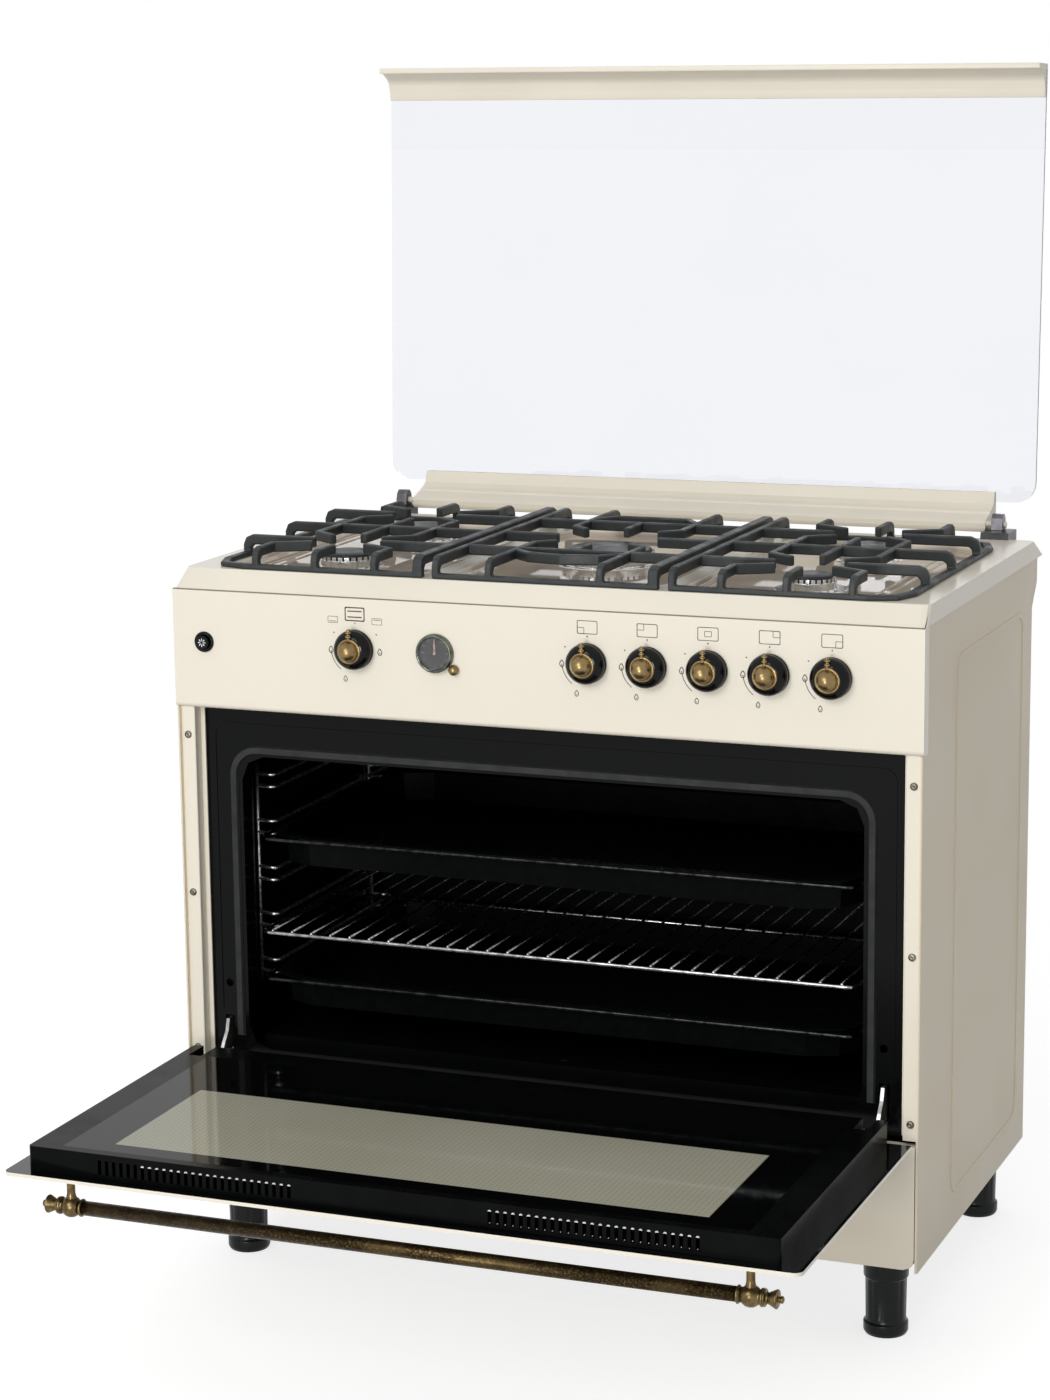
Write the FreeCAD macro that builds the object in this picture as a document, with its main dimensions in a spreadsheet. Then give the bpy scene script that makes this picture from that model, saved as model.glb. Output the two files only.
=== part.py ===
import FreeCAD, Part
import math
import os
import re
import Sketcher

# A freestanding range cooker, 900 mm wide: enamelled steel cabinet, five gas burners under three cast
# pan supports, a glass hob lid, and one wide oven whose door drops open.
# +X is to the right of someone facing the front, +Y goes back, +Z is up from the floor.
# The origin lies on the floor under the middle of the cooker as it stands open, so the cabinet's own
# centre is centre_back behind it. Formulas below are in the cabinet's own centre lines.

doc = FreeCAD.newDocument("range_cooker")
sheet = doc.addObject("Spreadsheet::Sheet", "sizes")
V = FreeCAD.Vector

SIZES = {
    # the cabinet
    "centre_back": 190, "steel": 1.2, "half_width": 449, "front": 280, "back": 222, "deck": 817,
    "leg_height": 92, "back_top": "back + 24", "step_low": "deck - 57", "step_high": "deck - 29",
    "leg_across": "half_width - 49", "leg_front": "front - 51", "leg_rear": "back - 32",
    "leg_radius": 26, "leg_ring": 14, "leg_flange": 32, "lip": 3, "hem": 6, "bead": 6,
    "bead_rise": 1,
    # the strips beside the oven
    "post_inner": "half_width - 20", "post_foot": "flap_high + 5", "post_step": 5,
    "screw_radius": 4.5, "screw_across": "half_width - 11", "screw_low": "post_foot + 19",
    "screw_mid": "(screw_low + screw_high)/2", "screw_high": "panel_low - 34",
    # the control panel
    "panel_low": "deck - 140", "panel_deep": 18, "panel_roll": 6,
    # the hob
    "hob_half": "half_width + 1", "hob_top": "deck + 21", "hob_front": "front - 3",
    "hob_back": "back_top + 31", "hob_flat_front": "hob_front - 27",
    "hob_flat_back": "hob_back - 35", "hob_inset": 3, "hob_wall": 1.5, "well_deep": 6,
    "well_front": "hob_flat_front - 18", "well_back": "hob_flat_back - 74",
    "well_out": "half_width - 44", "well_in": "grid_in + 7", "well_mid": "grid_mid - 5",
    "well_corner": 30,
    # the oven
    "frame_back": "front - 24", "frame_half": "half_width - 3", "frame_low": "flap_high + 3",
    "frame_high": "panel_low + 13", "mouth_half": "frame_half - 68", "mouth_low": "frame_low + 21",
    "mouth_high": "frame_high - 72", "mouth_corner": 28, "oven_half": "mouth_half + 16",
    "oven_low": "mouth_low - 12", "oven_high": "mouth_high + 14", "oven_back": "back - 52",
    "oven_corner": 18, "seal_half": "mouth_half + 15", "seal_high": "mouth_high + 13",
    "seal_wide": 10, "seal_thick": 4, "slot_across": "mouth_half + 25", "slot_low": "door_pin + 11",
    "slot_high": "slot_low + 42", "slot_wide": 12, "face_half": "mouth_half + 37",
    "face_high": "mouth_high + 39", "plug_high": "slot_high + 40", "plug_radius": 5,
    # shelf racks and what slides on them
    "rack_rail": "oven_half - 28", "rack_wire": 2.25, "rack_post": 2.5,
    "rack_first": "oven_low + 90", "rack_pitch": "(oven_high - rack_first - 64)/4", "rack_gap": 15,
    "rack_front": "frame_back - 66", "rack_rear": "oven_back - 40", "tray_half": "rack_rail + 3",
    "tray_wire": 2.5, "tray_front": "frame_back - 11", "tray_long": "frame_back + oven_back - 26",
    "tray_deep": 34, "tray_corner": 60, "wire_corner": 15, "shelf_pitch": 25, "shelf_wire": 1.5,
    "run": 0.3,
    # the oven door, held as it stands open
    "door_half": "half_width - 1", "door_axis": "front + 10", "door_pin": "flap_high + 9",
    "glass": 4, "door_face": 2.3, "door_free": "door_axis + panel_low - door_pin - 4",
    "door_tail": "door_axis + 15", "box_half": "door_half - 25", "box_deep": 28,
    "box_free": "door_free - 14", "box_tail": "door_tail + 7", "box_wall": 1.5,
    "pane_half": "box_half - 36", "pane_free": "box_free - 12", "pane_tail": "box_tail + 18",
    "pane_thick": 3.5, "pane_seat": 12, "notch_wide": 16, "notch_long": 38,
    "vent_first": 113, "vent_pitch": 8.6, "vent_count": 27, "vent_wide": 4, "vent_high": 16,
    "pin_radius": 3, "fit": 0.05, "boss": 7, "arm_thick": 4, "cheek_thick": 3,
    "grip_back": "door_free - 36", "grip_drop": 40, "grip_radius": 8, "grip_half": "door_half - 63",
    "grip_tip": "grip_half + 35", "ball": 12, "rosette": 15, "stem": 6.5,
    # the flap under the oven
    "flap_half": "half_width - 4", "flap_low": "leg_height + 3", "flap_high": "leg_height + 146",
    "flap_pin_back": "front - 10", "flap_pin_up": "flap_low + 8", "flap_pin": 2.5,
    "flap_turn": 14, "flap_corner": 12,
    # the glass lid, in its own upright frame about the hinge pins
    "lid_axis": "hob_back - 9", "lid_up": "hob_top + 14", "lid_lean": 2.25,
    "lid_half": "half_width - 19", "lid_glass": 5, "lid_plane": 42, "lid_foot": 23,
    "lid_top": "lid_axis + front + 5", "lid_corner": 25, "rail_half": "lid_half - 50",
    "rail_high": 35, "rail_low": 10, "rail_front": 5.5, "cove_low": "lid_top - 40",
    "lip_reach": 38, "lip_thick": 7, "lid_pin": 4, "ear_in": "rail_half + 8",
    "ear_out": "ear_in + 14", "block_in": "rail_half + 0.5", "block_out": "rail_half + 35",
    "block_front": "lid_axis - 33", "block_back": "lid_axis + 11", "block_top": "lid_up - 6",
    "ear_high": "lid_up + 13",
    # burners
    "side_burner": "(grid_in + grid_out)/2", "front_burner": "front - 131",
    "rear_burner": "back - 141", "wok_burner": "(front_burner - rear_burner)/2",
    "cap_small": 25, "cap_medium": 30, "cap_wok": 52, "cap_thick": 5, "cap_top": "hob_top + 8",
    "cup_radius": 42, "cup_wok": 66,
    # cast pan supports
    "grid_out": "half_width - 29", "grid_in": 148, "grid_mid": 136,
    "grid_front": "hob_flat_front - 3", "grid_rear": "well_back + 17", "grid_top": "hob_top + 26",
    "grid_bar": 8, "grid_thick": 12, "grid_deep": 12, "base_bar": 10, "base_high": 6,
    "grid_corner": 45, "grid_bend": 12, "reach": 42, "reach_wok": 62, "cross_step": 115,
    "splay": 75,
    # knobs and small parts on the panel
    "knob_up": "deck - 59", "knob_pitch": 70.5, "knob_first": "half_width - 101.7 - 4*knob_pitch",
    "oven_knob": "half_width - 231.5", "knob_radius": 22, "knob_deep": 18, "knob_gap": 0.5,
    "dome": 14.5, "dome_deep": 14, "spindle": 4, "spindle_long": 26,
    "clock_across": "oven_knob - 99.5", "clock_up": "knob_up + 1", "clock_radius": 21.5,
    "clock_deep": 8, "set_across": "clock_across - 23", "set_up": "clock_up - 18",
    "set_radius": 6.3, "light_across": "half_width - 39", "light_up": "knob_up - 2",
    "light_radius": 11.5,
}
for number, name in enumerate(SIZES):
    sheet.setAlias("A%d" % (number + 1), name)
for number, value in enumerate(SIZES.values()):
    sheet.set("A%d" % (number + 1), "=" + value if isinstance(value, str) else str(value))
doc.recompute()

PLAIN = ("cos", "sin", "tan", "sqrt", "min", "max")


def cell(text):
    """A formula whose names are read from the sheet."""
    swap = lambda m: m.group(0) if m.group(0) in PLAIN else "sizes." + m.group(0)
    return re.sub(r"[a-z][a-z_]*", swap, str(text))


def val(text):
    return float(sheet.evalExpression(cell(text)))


def bind(thing, prop, text):
    thing.setExpression(prop, cell(text))


pieces = []


def piece(thing, label, base=("0", "centre_back", "0")):
    """Names a finished sub-part and sets it down in the cooker's frame."""
    thing.Label = label
    for letter, text in zip("xyz", base):
        bind(thing, "Placement.Base." + letter, text)
    pieces.append(thing)
    return thing


def body(label, base=("0", "centre_back", "0")):
    return piece(doc.addObject("PartDesign::Body", label), label, base)


def sketch(owner, plane, loops, lift="0", name="outline"):
    """Closed outlines on one of the body's origin planes, every corner bound to the sheet.
    A corner is (across, up) or (across, up, fillet); a circle is (across, up, "round", radius)."""
    sk = owner.newObject("Sketcher::SketchObject", owner.Name + "_" + name)
    sk.AttachmentSupport = [([f for f in owner.Origin.OriginFeatures if f.Role == plane][0], "")]
    sk.MapMode = "FlatFace"
    bind(sk, "AttachmentOffset.Base.z", lift)

    def tie(kind, where, text):
        c = sk.addConstraint(Sketcher.Constraint(kind, *where, val(text)))
        bind(sk, "Constraints[%d]" % c, text)

    for loop in loops:
        first = sk.GeometryCount
        if loop[0] == "round":
            sk.addGeometry(Part.Circle(V(val(loop[1]), val(loop[2]), 0), V(0, 0, 1), val(loop[3])))
            tie("DistanceX", (-1, 1, first, 3), loop[1])
            tie("DistanceY", (-1, 1, first, 3), loop[2])
            tie("Radius", (first,), loop[3])
            continue
        spots = [V(val(p[0]), val(p[1]), 0) for p in loop]
        count = len(loop)
        for i in range(count):
            sk.addGeometry(Part.LineSegment(spots[i], spots[(i + 1) % count]))
        for i in range(count):
            after = first + (i + 1) % count
            sk.addConstraint(Sketcher.Constraint("Coincident", first + i, 2, after, 1))
        for i in range(count):
            tie("DistanceX", (-1, 1, first + i, 1), loop[i][0])
            tie("DistanceY", (-1, 1, first + i, 1), loop[i][1])
        for i in range(count):
            if len(loop[i]) > 2:
                arc = sk.GeometryCount
                sk.fillet(first + i, 1, val(loop[i][2]), True, True)
                tie("Radius", (arc,), loop[i][2])
    return sk


def grow(owner, kind, sk, length, back=False, both=False, taper=None, name=""):
    """A pad or a pocket of a sketch."""
    f = owner.newObject("PartDesign::" + kind, owner.Name + "_" + (name or kind.lower()))
    f.Profile = sk
    bind(f, "Length", length)
    f.Reversed = back
    if both:
        f.SideType = "Symmetric"
    if taper:
        bind(f, "TaperAngle", taper)
    return f


def pad(owner, plane, loops, length, lift="0", back=False, both=False, taper=None, name="pad"):
    sk = sketch(owner, plane, loops, lift, name + "_outline")
    return grow(owner, "Pad", sk, length, back, both, taper, name)


def cut(owner, plane, loops, length, lift="0", back=False, both=False, taper=None, name="cut"):
    sk = sketch(owner, plane, loops, lift, name + "_outline")
    return grow(owner, "Pocket", sk, length, back, both, taper, name)


def slope(owner, f, axis, levels, along, across, name="slope"):
    """Sloping edges round the ends of a prism: so far along its side, so far across its end."""
    doc.recompute()
    up = "xyz".index(axis)
    names = []
    for level in levels:
        for i, edge in enumerate(f.Shape.Edges):
            if all(abs(v.Point[up] - val(level)) < 1e-6 for v in edge.Vertexes):
                names.append("Edge%d" % (i + 1))
    c = owner.newObject("PartDesign::Chamfer", owner.Name + "_" + name)
    c.Base = (f, names)
    c.ChamferType = "Two distances"
    bind(c, "Size", along)
    bind(c, "Size2", across)
    return c


def frame(left, right, low, high, corner=None):
    """A rectangle, its corners rounded when a radius is given."""
    spots = [(left, low), (right, low), (right, high), (left, high)]
    return [p + (corner,) if corner else p for p in spots]


def soft(left, right, low, high, corner):
    """A rectangle whose corners turn in three flat steps."""
    near = "0.293*(%s)" % corner
    spots = []
    for x, z, inward, upward in ((left, low, "+", "+"), (right, low, "-", "+"),
                                 (right, high, "-", "-"), (left, high, "+", "-")):
        turn_in = ["%s %s (%s)" % (x, inward, corner), z]
        middle = ["%s %s %s" % (x, inward, near), "%s %s %s" % (z, upward, near)]
        turn_up = [x, "%s %s (%s)" % (z, upward, corner)]
        trio = [turn_in, middle, turn_up] if inward != upward else [turn_up, middle, turn_in]
        spots += [tuple(spot) for spot in trio]
    return spots


def ngon(across, up, radius, sides):
    """The corners of a regular polygon around a point."""
    spots = []
    for k in range(sides):
        turned = 2 * math.pi * (k + 0.5) / sides
        spots.append(("%s + (%s)*(%.5f)" % (across, radius, math.cos(turned)),
                      "%s + (%s)*(%.5f)" % (up, radius, math.sin(turned))))
    return spots


def other_side(source):
    """The same piece on the other side of the cooker."""
    m = doc.addObject("Part::Mirroring", source.Name + "_other")
    m.Source = source
    m.Normal = V(1, 0, 0)
    return m


def together(label, members):
    """Pieces of one kind kept in one sub-part, each a solid of its own."""
    group = doc.addObject("Part::Compound", label)
    group.Links = members
    group.Label = label
    for member in members:
        if member in pieces:
            pieces.remove(member)
    pieces.append(group)
    return group


def pair(label, *sources):
    return together(label, [m for s in sources for m in (s, other_side(s))])


def several(label, source, places):
    """Identical pieces kept in one sub-part: links to one piece, each set down at its own place."""
    links = []
    for i, spot in enumerate(places):
        link = doc.addObject("App::Link", "%s_%d" % (label, i + 1))
        link.LinkedObject = source
        link.LinkTransform = False
        for letter, text in zip("xyz", spot):
            bind(link, "Placement.Base." + letter, text)
        links.append(link)
    return together(label, links)


def made(label, shape, base=("0", "centre_back", "0")):
    """A piece shaped in code from the sheet's values."""
    f = doc.addObject("Part::Feature", label)
    f.Shape = shape
    return piece(f, label, base)


# ---------------------------------------------------------------- cabinet
# levelling legs: a foot with a base ring, a twelve-sided grip, and a square flange under the cabinet
leg = doc.addObject("PartDesign::Body", "levelling_leg")
pad(leg, "XY_Plane", [ngon("0", "0", "leg_radius", 12)], "leg_ring", name="ring")
pad(leg, "XY_Plane", [ngon("0", "0", "leg_radius - 3", 12)], "leg_height - leg_ring", "leg_ring",
    name="grip")
pad(leg, "XY_Plane", [frame("-leg_flange", "leg_flange", "-leg_flange", "leg_flange")],
    "4", "leg_height - 4", name="flange")
legs = several("levelling_legs", leg, [
    ("-leg_across", "centre_back - leg_front", "0"), ("leg_across", "centre_back - leg_front", "0"),
    ("leg_across", "centre_back + leg_rear", "0"), ("-leg_across", "centre_back + leg_rear", "0")])

# floor of the cabinet: a shallow tray with its edges turned up, standing on the legs
floor = body("cabinet_floor")
pad(floor, "XY_Plane", [frame("-half_width + steel", "half_width - steel", "-frame_back + 6",
    "back - steel")], "26", "leg_height")
cut(floor, "XY_Plane", [frame("-half_width + 2*steel", "half_width - 2*steel",
    "-frame_back + 6 + steel", "back - 2*steel")], "26", "leg_height + steel", back=True)

# side panel: flat sheet with a narrow hemmed lip at the front, a stepped rear edge, and pressed beads
side = body("side_panel")
pad(side, "YZ_Plane", [[
    ("-front + lip", "leg_height"), ("back", "leg_height"), ("back", "step_low"),
    ("back_top", "step_high"), ("back_top", "deck"), ("-front + panel_deep", "deck"),
    ("-front + panel_deep", "panel_low"), ("-front + lip", "panel_low")]],
    "steel", "half_width - steel", name="sheet")
pad(side, "XY_Plane", [[
    ("half_width", "-front + lip"), ("half_width", "-front", "lip - 0.2"),
    ("half_width - lip", "-front"), ("half_width - lip", "-front + hem"),
    ("half_width - lip + steel", "-front + hem"), ("half_width - lip + steel", "-front + steel"),
    ("half_width - steel", "-front + steel"), ("half_width - steel", "-front + lip")]],
    "panel_low - leg_height", "leg_height", name="lip")
pad(side, "YZ_Plane", [
    soft("-135", "180", "leg_height + 40", "deck - 53", "22"),
    soft("-135 + bead", "180 - bead", "leg_height + 40 + bead", "deck - 53 - bead", "18")],
    "bead_rise", "half_width", name="bead_outer")
pair("side_panels", side)

# rear panel follows the same step as the side panels
rear = body("rear_panel")
pad(rear, "YZ_Plane", [[
    ("back", "leg_height"), ("back", "step_low"), ("back_top", "step_high"), ("back_top", "deck"),
    ("back_top - steel", "deck"), ("back_top - steel", "step_high + 0.5"),
    ("back - steel", "step_low + 0.5"), ("back - steel", "leg_height")]],
    "2*(half_width - steel)", both=True)

# strip beside the oven: a face, a return to the oven frame and a narrow foot against it
post = body("front_post")
pad(post, "XY_Plane", [[
    ("half_width - steel", "-front + hem"), ("post_inner", "-front + hem", "1.5"),
    ("post_inner", "-frame_back - 2"), ("post_inner - post_step", "-frame_back - 2"),
    ("post_inner - post_step", "-frame_back"), ("post_inner + steel", "-frame_back"),
    ("post_inner + steel", "-front + hem + steel"),
    ("half_width - steel", "-front + hem + steel")]],
    "panel_low - post_foot", "post_foot")
pair("front_posts", post)

# round-headed screws down both strips
screw = doc.addObject("PartDesign::Body", "post_screw")
flat = pad(screw, "XZ_Plane", [ngon("0", "0", "screw_radius", 8)], "2.4")
slope(screw, flat, "y", ["-2.4"], "1.4", "1.6")
screws = []
for across in ("-screw_across", "screw_across"):
    for up in ("screw_low", "screw_mid", "screw_high"):
        screws.append((across, "centre_back - front + hem", up))
screw_row = several("post_screws", screw, screws)

# ---------------------------------------------------------------- hob
hob = body("hob_top")
low = sketch(hob, "XY_Plane", [soft("-hob_half", "hob_half", "-hob_front", "hob_back", "8")],
             "deck", "skirt")
high = sketch(hob, "XY_Plane", [soft("-hob_half + hob_inset", "hob_half - hob_inset",
    "-hob_flat_front", "hob_flat_back", "8")], "hob_top", "crown")
loft = hob.newObject("PartDesign::AdditiveLoft", "hob_loft")
loft.Profile = low
loft.Sections = [high]
loft.Ruled = True
WELLS = (("-well_out", "-well_in"), ("-well_mid", "well_mid"), ("well_in", "well_out"))
for n, (left, right) in enumerate(WELLS):
    cut(hob, "XY_Plane", [soft(left, right, "-well_front", "well_back", "well_corner")],
        "well_deep", "hob_top", taper="-30", name="well_%d" % (n + 1))
inner_low = sketch(hob, "XY_Plane", [frame("-hob_half + hob_wall", "hob_half - hob_wall",
    "-hob_front + 2*hob_wall", "hob_back - 2*hob_wall")], "deck", "hollow_low")
inner_high = sketch(hob, "XY_Plane", [frame("-hob_half + hob_inset", "hob_half - hob_inset",
    "-hob_flat_front - 4", "hob_flat_back + 4")],
    "hob_top - well_deep - hob_wall", "hollow_high")
hollow = hob.newObject("PartDesign::SubtractiveLoft", "hob_hollow")
hollow.Profile = inner_low
hollow.Sections = [inner_high]
hollow.Ruled = True
BURNERS = {
    "front_left": ("-side_burner", "-front_burner", "cap_medium", "cup_radius"),
    "rear_left": ("-side_burner", "rear_burner", "cap_medium", "cup_radius"),
    "centre": ("0", "-wok_burner", "cap_wok", "cup_wok"),
    "rear_right": ("side_burner", "rear_burner", "cap_medium", "cup_radius"),
    "front_right": ("side_burner", "-front_burner", "cap_small", "cup_radius"),
}
cut(hob, "XY_Plane", [ngon(x, y, cap + " - 4", 8) for x, y, cap, cup in BURNERS.values()],
    "20", "hob_top - 4", name="burner_holes")

# ---------------------------------------------------------------- control panel
panel = body("control_panel")
pad(panel, "YZ_Plane", [[
    ("-front", "panel_low", "panel_roll"), ("-front + panel_deep", "panel_low"),
    ("-front + panel_deep", "deck"), ("-front", "deck", "2")]],
    "2*hob_half", both=True)
cut(panel, "YZ_Plane", [[
    ("-front + 1.5", "panel_low + 1.5", "panel_roll - 1.5"), ("-front + panel_deep + 1", "panel_low + 1.5"),
    ("-front + panel_deep + 1", "deck - 1.5"), ("-front + 1.5", "deck - 1.5")]],
    "2*hob_half - 2.4", both=True)
KNOBS = ["knob_first", "knob_first + knob_pitch", "knob_first + 2*knob_pitch",
         "knob_first + 3*knob_pitch", "knob_first + 4*knob_pitch", "-oven_knob"]
holes = [ngon(x, "knob_up", "spindle + 2", 8) for x in KNOBS]
holes.append(ngon("-light_across", "light_up", "light_radius - 2", 8))
holes.append(ngon("-clock_across", "clock_up", "clock_radius - 6", 8))
holes.append(ngon("-set_across", "set_up", "3.2", 8))
cut(panel, "XZ_Plane", holes, "10", "front + 4", name="holes")


# what each knob turns: a tap body behind the panel on the gas pipe, with a bore for the spindle
taps = doc.addObject("PartDesign::Body", "gas_pipe")
taps.Label = "gas_manifold"
for letter, text in zip("xyz", ("0", "centre_back", "0")):
    bind(taps, "Placement.Base." + letter, text)
pieces.append(taps)
pad(taps, "YZ_Plane", [frame("-front + 40", "-front + 56", "knob_up - 8", "knob_up + 8")],
    "2*half_width - 60", both=True, name="pipe")
pad(taps, "XZ_Plane", [ngon(x, "knob_up", "9", 6) for x in KNOBS], "48 - 1.5", "front - 48",
    name="taps")
cut(taps, "XZ_Plane", [["round", x, "knob_up", "spindle + fit"] for x in KNOBS],
    "spindle_long - 1.5 + 2", "front - 1.5", back=False, name="bores")

# ---------------------------------------------------------------- oven
front = body("oven_front_frame")
pad(front, "XZ_Plane", [
    frame("-frame_half", "frame_half", "frame_low", "frame_high"),
    soft("-mouth_half", "mouth_half", "mouth_low", "mouth_high", "mouth_corner"),
    frame("slot_across - slot_wide/2", "slot_across + slot_wide/2", "slot_low", "slot_high"),
    frame("-slot_across - slot_wide/2", "-slot_across + slot_wide/2", "slot_low", "slot_high"),
    ngon("slot_across - 1", "plug_high", "plug_radius", 8),
    ngon("1 - slot_across", "plug_high", "plug_radius", 8)],
    "steel", "frame_back - steel")
pad(front, "XZ_Plane", [
    [("-face_half", "slot_high + 8"), ("-face_half", "face_high", "16"),
     ("face_half", "face_high", "16"), ("face_half", "slot_high + 8"),
     ("face_half - 4", "slot_high + 8"), ("face_half - 4", "face_high - 4", "12"),
     ("4 - face_half", "face_high - 4", "12"), ("4 - face_half", "slot_high + 8")]],
    "1", "frame_back", name="bead")

liner = body("oven_liner")
pad(liner, "XZ_Plane", [soft("-oven_half - steel", "oven_half + steel", "oven_low - steel",
    "oven_high + steel", "oven_corner + steel")], "frame_back - steel + oven_back + steel",
    "-oven_back - steel")
cut(liner, "XZ_Plane", [soft("-oven_half", "oven_half", "oven_low", "oven_high",
    "oven_corner")], "frame_back + oven_back", "-oven_back", back=True)
for n, up in enumerate(("rack_first + rack_pitch + 55", "rack_first + 3*rack_pitch + 55")):
    pad(liner, "XZ_Plane", [frame("-oven_half + 30", "oven_half - 30", up, up + " + 26")],
        "6", "-oven_back", taper="-30", name="rib_%d" % (n + 1))

seal = body("door_seal")
pad(seal, "XZ_Plane", [[
    ("-seal_half", "mouth_low + 14"), ("-seal_half", "seal_high", "mouth_corner + 8"),
    ("seal_half", "seal_high", "mouth_corner + 8"), ("seal_half", "mouth_low + 14"),
    ("seal_half - seal_wide", "mouth_low + 14"),
    ("seal_half - seal_wide", "seal_high - seal_wide", "mouth_corner - 2"),
    ("seal_wide - seal_half", "seal_high - seal_wide", "mouth_corner - 2"),
    ("seal_wide - seal_half", "mouth_low + 14")]],
    "seal_thick", "frame_back", taper="-20")

# a plate over the oven burner, its edges turned down to the oven floor
plate = body("oven_floor_plate")
pad(plate, "XY_Plane", [frame("-oven_half + 20", "oven_half - 20", "-frame_back + 24",
    "oven_back - 10")], "22", "oven_low", taper="-8")
cut(plate, "XY_Plane", [frame("-oven_half + 22", "oven_half - 22", "-frame_back + 26",
    "oven_back - 12")], "22 - steel", "oven_low", back=True, taper="-8")
cut(plate, "XZ_Plane", [frame("-9", "9", "oven_low - 1", "oven_low + 19")], "22",
    "-oven_back + 26", name="tube_gap")
vents = []
for n in range(-3, 4):
    across = "%d*(oven_half - 60)/3" % n
    vents.append(frame(across + " - 24", across + " + 24", "-frame_back + 44",
                       "-frame_back + 50"))
cut(plate, "XY_Plane", vents, "8", "oven_low + 26", name="slots")

# bottom burner: a straight tube from the rear wall; grill burner: a tray with its mouth down
tube = body("oven_tube")
pad(tube, "XZ_Plane", [["round", "0", "oven_low + 10", "8"]], "oven_back + frame_back - 60",
    "-oven_back")
grill = body("oven_grill")
pad(grill, "XY_Plane", [frame("-150", "150", "-110", "130")], "18", "oven_high - 18")
cut(grill, "XY_Plane", [frame("-146", "146", "-106", "126")], "15", "oven_high - 18", back=True)

together("oven_burners", [tube, grill])


def wire(points, radius, sides=6, closed=False):
    """A wire with flat sides along a line of points, mitred where it turns. Two of its corners lie
    straight above and below the line, so it rests at its radius."""
    count = len(points)
    rings = []
    for i, p in enumerate(points):
        ahead = points[(i + 1) % count] - p if closed or i + 1 < count else p - points[i - 1]
        behind = p - points[i - 1] if closed or i else ahead
        before = V(behind).normalize()
        along = (before + V(ahead).normalize()).normalize()
        rise = V(0, 0, 1) if abs(along.z) < 0.9 else V(0, 1, 0)
        out = along.cross(rise).normalize() * (1 / (along * before))
        ring = []
        for k in range(sides):
            turned = math.pi / 2 + 2 * math.pi * k / sides
            ring.append(p + (out * math.cos(turned) + rise * math.sin(turned)) * radius)
        rings.append(ring)
    faces = []
    for i in range(count if closed else count - 1):
        one = rings[i]
        two = rings[(i + 1) % count]
        for k in range(sides):
            after = (k + 1) % sides
            loop = [one[k], one[after], two[after], two[k], one[k]]
            faces.append(Part.Face(Part.makePolygon(loop)))
    if not closed:
        for ring in (rings[0], rings[-1]):
            faces.append(Part.Face(Part.makePolygon(ring + ring[:1])))
    solid = Part.makeSolid(Part.makeShell(faces))
    if solid.Volume < 0:
        solid.reverse()
    return solid


def rack(sign):
    """Hanging ladder at one wall: uprights against the liner, two bowed rails at each level."""
    wall = val("oven_half - rack_post")
    rail = val("rack_rail")
    near = -val("rack_front")
    far = val("rack_rear")
    parts = []
    top = val("rack_first + 4*rack_pitch + rack_gap") + 12
    for y in (near, far):
        foot = V(sign * wall, y, val("rack_first") - 12)
        parts.append(wire([foot, V(sign * wall, y, top)], val("rack_post"), 4))
    for level in range(5):
        for rise in (0, val("rack_gap")):
            z = val("rack_first + %d*rack_pitch" % level) + rise
            parts.append(wire([V(sign * wall, near, z), V(sign * rail, near - 8, z),
                               V(sign * rail, far + 8, z), V(sign * wall, far, z)],
                              val("rack_wire"), 4))
    return parts[0].multiFuse(parts[1:])


together("side_racks", [made("side_rack_left", rack(-1)), made("side_rack_right", rack(1))])


def wire_frame(half, near, far, up, radius, corner):
    """A closed frame of wire with bent corners."""
    x = half - radius
    points = []
    for side, depth, first in ((1, near + radius + corner, -90), (1, far - radius - corner, 0),
                               (-1, far - radius - corner, 90), (-1, near + radius + corner, 180)):
        for step in (0, 45, 90):
            turned = math.radians(first + step)
            points.append(V(side * (x - corner) + corner * math.cos(turned),
                            depth + corner * math.sin(turned), up))
    return wire(points, radius, closed=True)


def tray_level(level):
    """Height of the centre of a tray's wire on its lower rail."""
    return val("rack_first + %d*rack_pitch + rack_wire + tray_wire + run" % level)


for label, level in (("lower", 0), ("upper", 3)):
    up = tray_level(level)
    made("tray_frame_" + label, wire_frame(val("tray_half"), -val("tray_front"),
         val("tray_long - tray_front"), up, val("tray_wire"), val("wire_corner")))
    lift = "rack_first + %d*rack_pitch + rack_wire + 2*tray_wire + run" % level
    pan = body("tray_pan_" + label)
    pad(pan, "XY_Plane", [soft("-tray_half + 1", "tray_half - 1", "-tray_front + 1",
        "tray_long - tray_front - 1", "tray_corner")], "steel", lift, name="rim")
    pad(pan, "XY_Plane", [soft("-tray_half + 12", "tray_half - 12", "-tray_front + 12",
        "tray_long - tray_front - 12", "tray_corner - 8")], "tray_deep", lift, back=True,
        taper="-6", name="wall")
    cut(pan, "XY_Plane", [soft("-tray_half + 13.2", "tray_half - 13.2", "-tray_front + 13.2",
        "tray_long - tray_front - 13.2", "tray_corner - 9")], "tray_deep", lift + " + steel",
        taper="-6", name="hollow")


def shelf():
    up = tray_level(1)
    half = val("tray_half")
    near = -val("tray_front")
    far = near + val("tray_long")
    ring = wire_frame(half, near, far, up, val("tray_wire"), val("wire_corner"))
    pitch = val("shelf_pitch")
    thin = val("shelf_wire")
    top = up + val("tray_wire + shelf_wire") - 0.6
    count = int((half - 16) / pitch)
    bars = []
    for i in range(-count, count + 1):
        x = i * pitch
        bars.append(wire([V(x, near + 1, top), V(x, far - 1, top)], thin, 4))
    middle = (near + far) / 2
    edge = half - val("tray_wire")
    bars.append(wire([V(-edge, middle, up), V(edge, middle, up)], val("tray_wire"), 4))
    return ring.multiFuse(bars)


made("wire_shelf", shelf())

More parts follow.
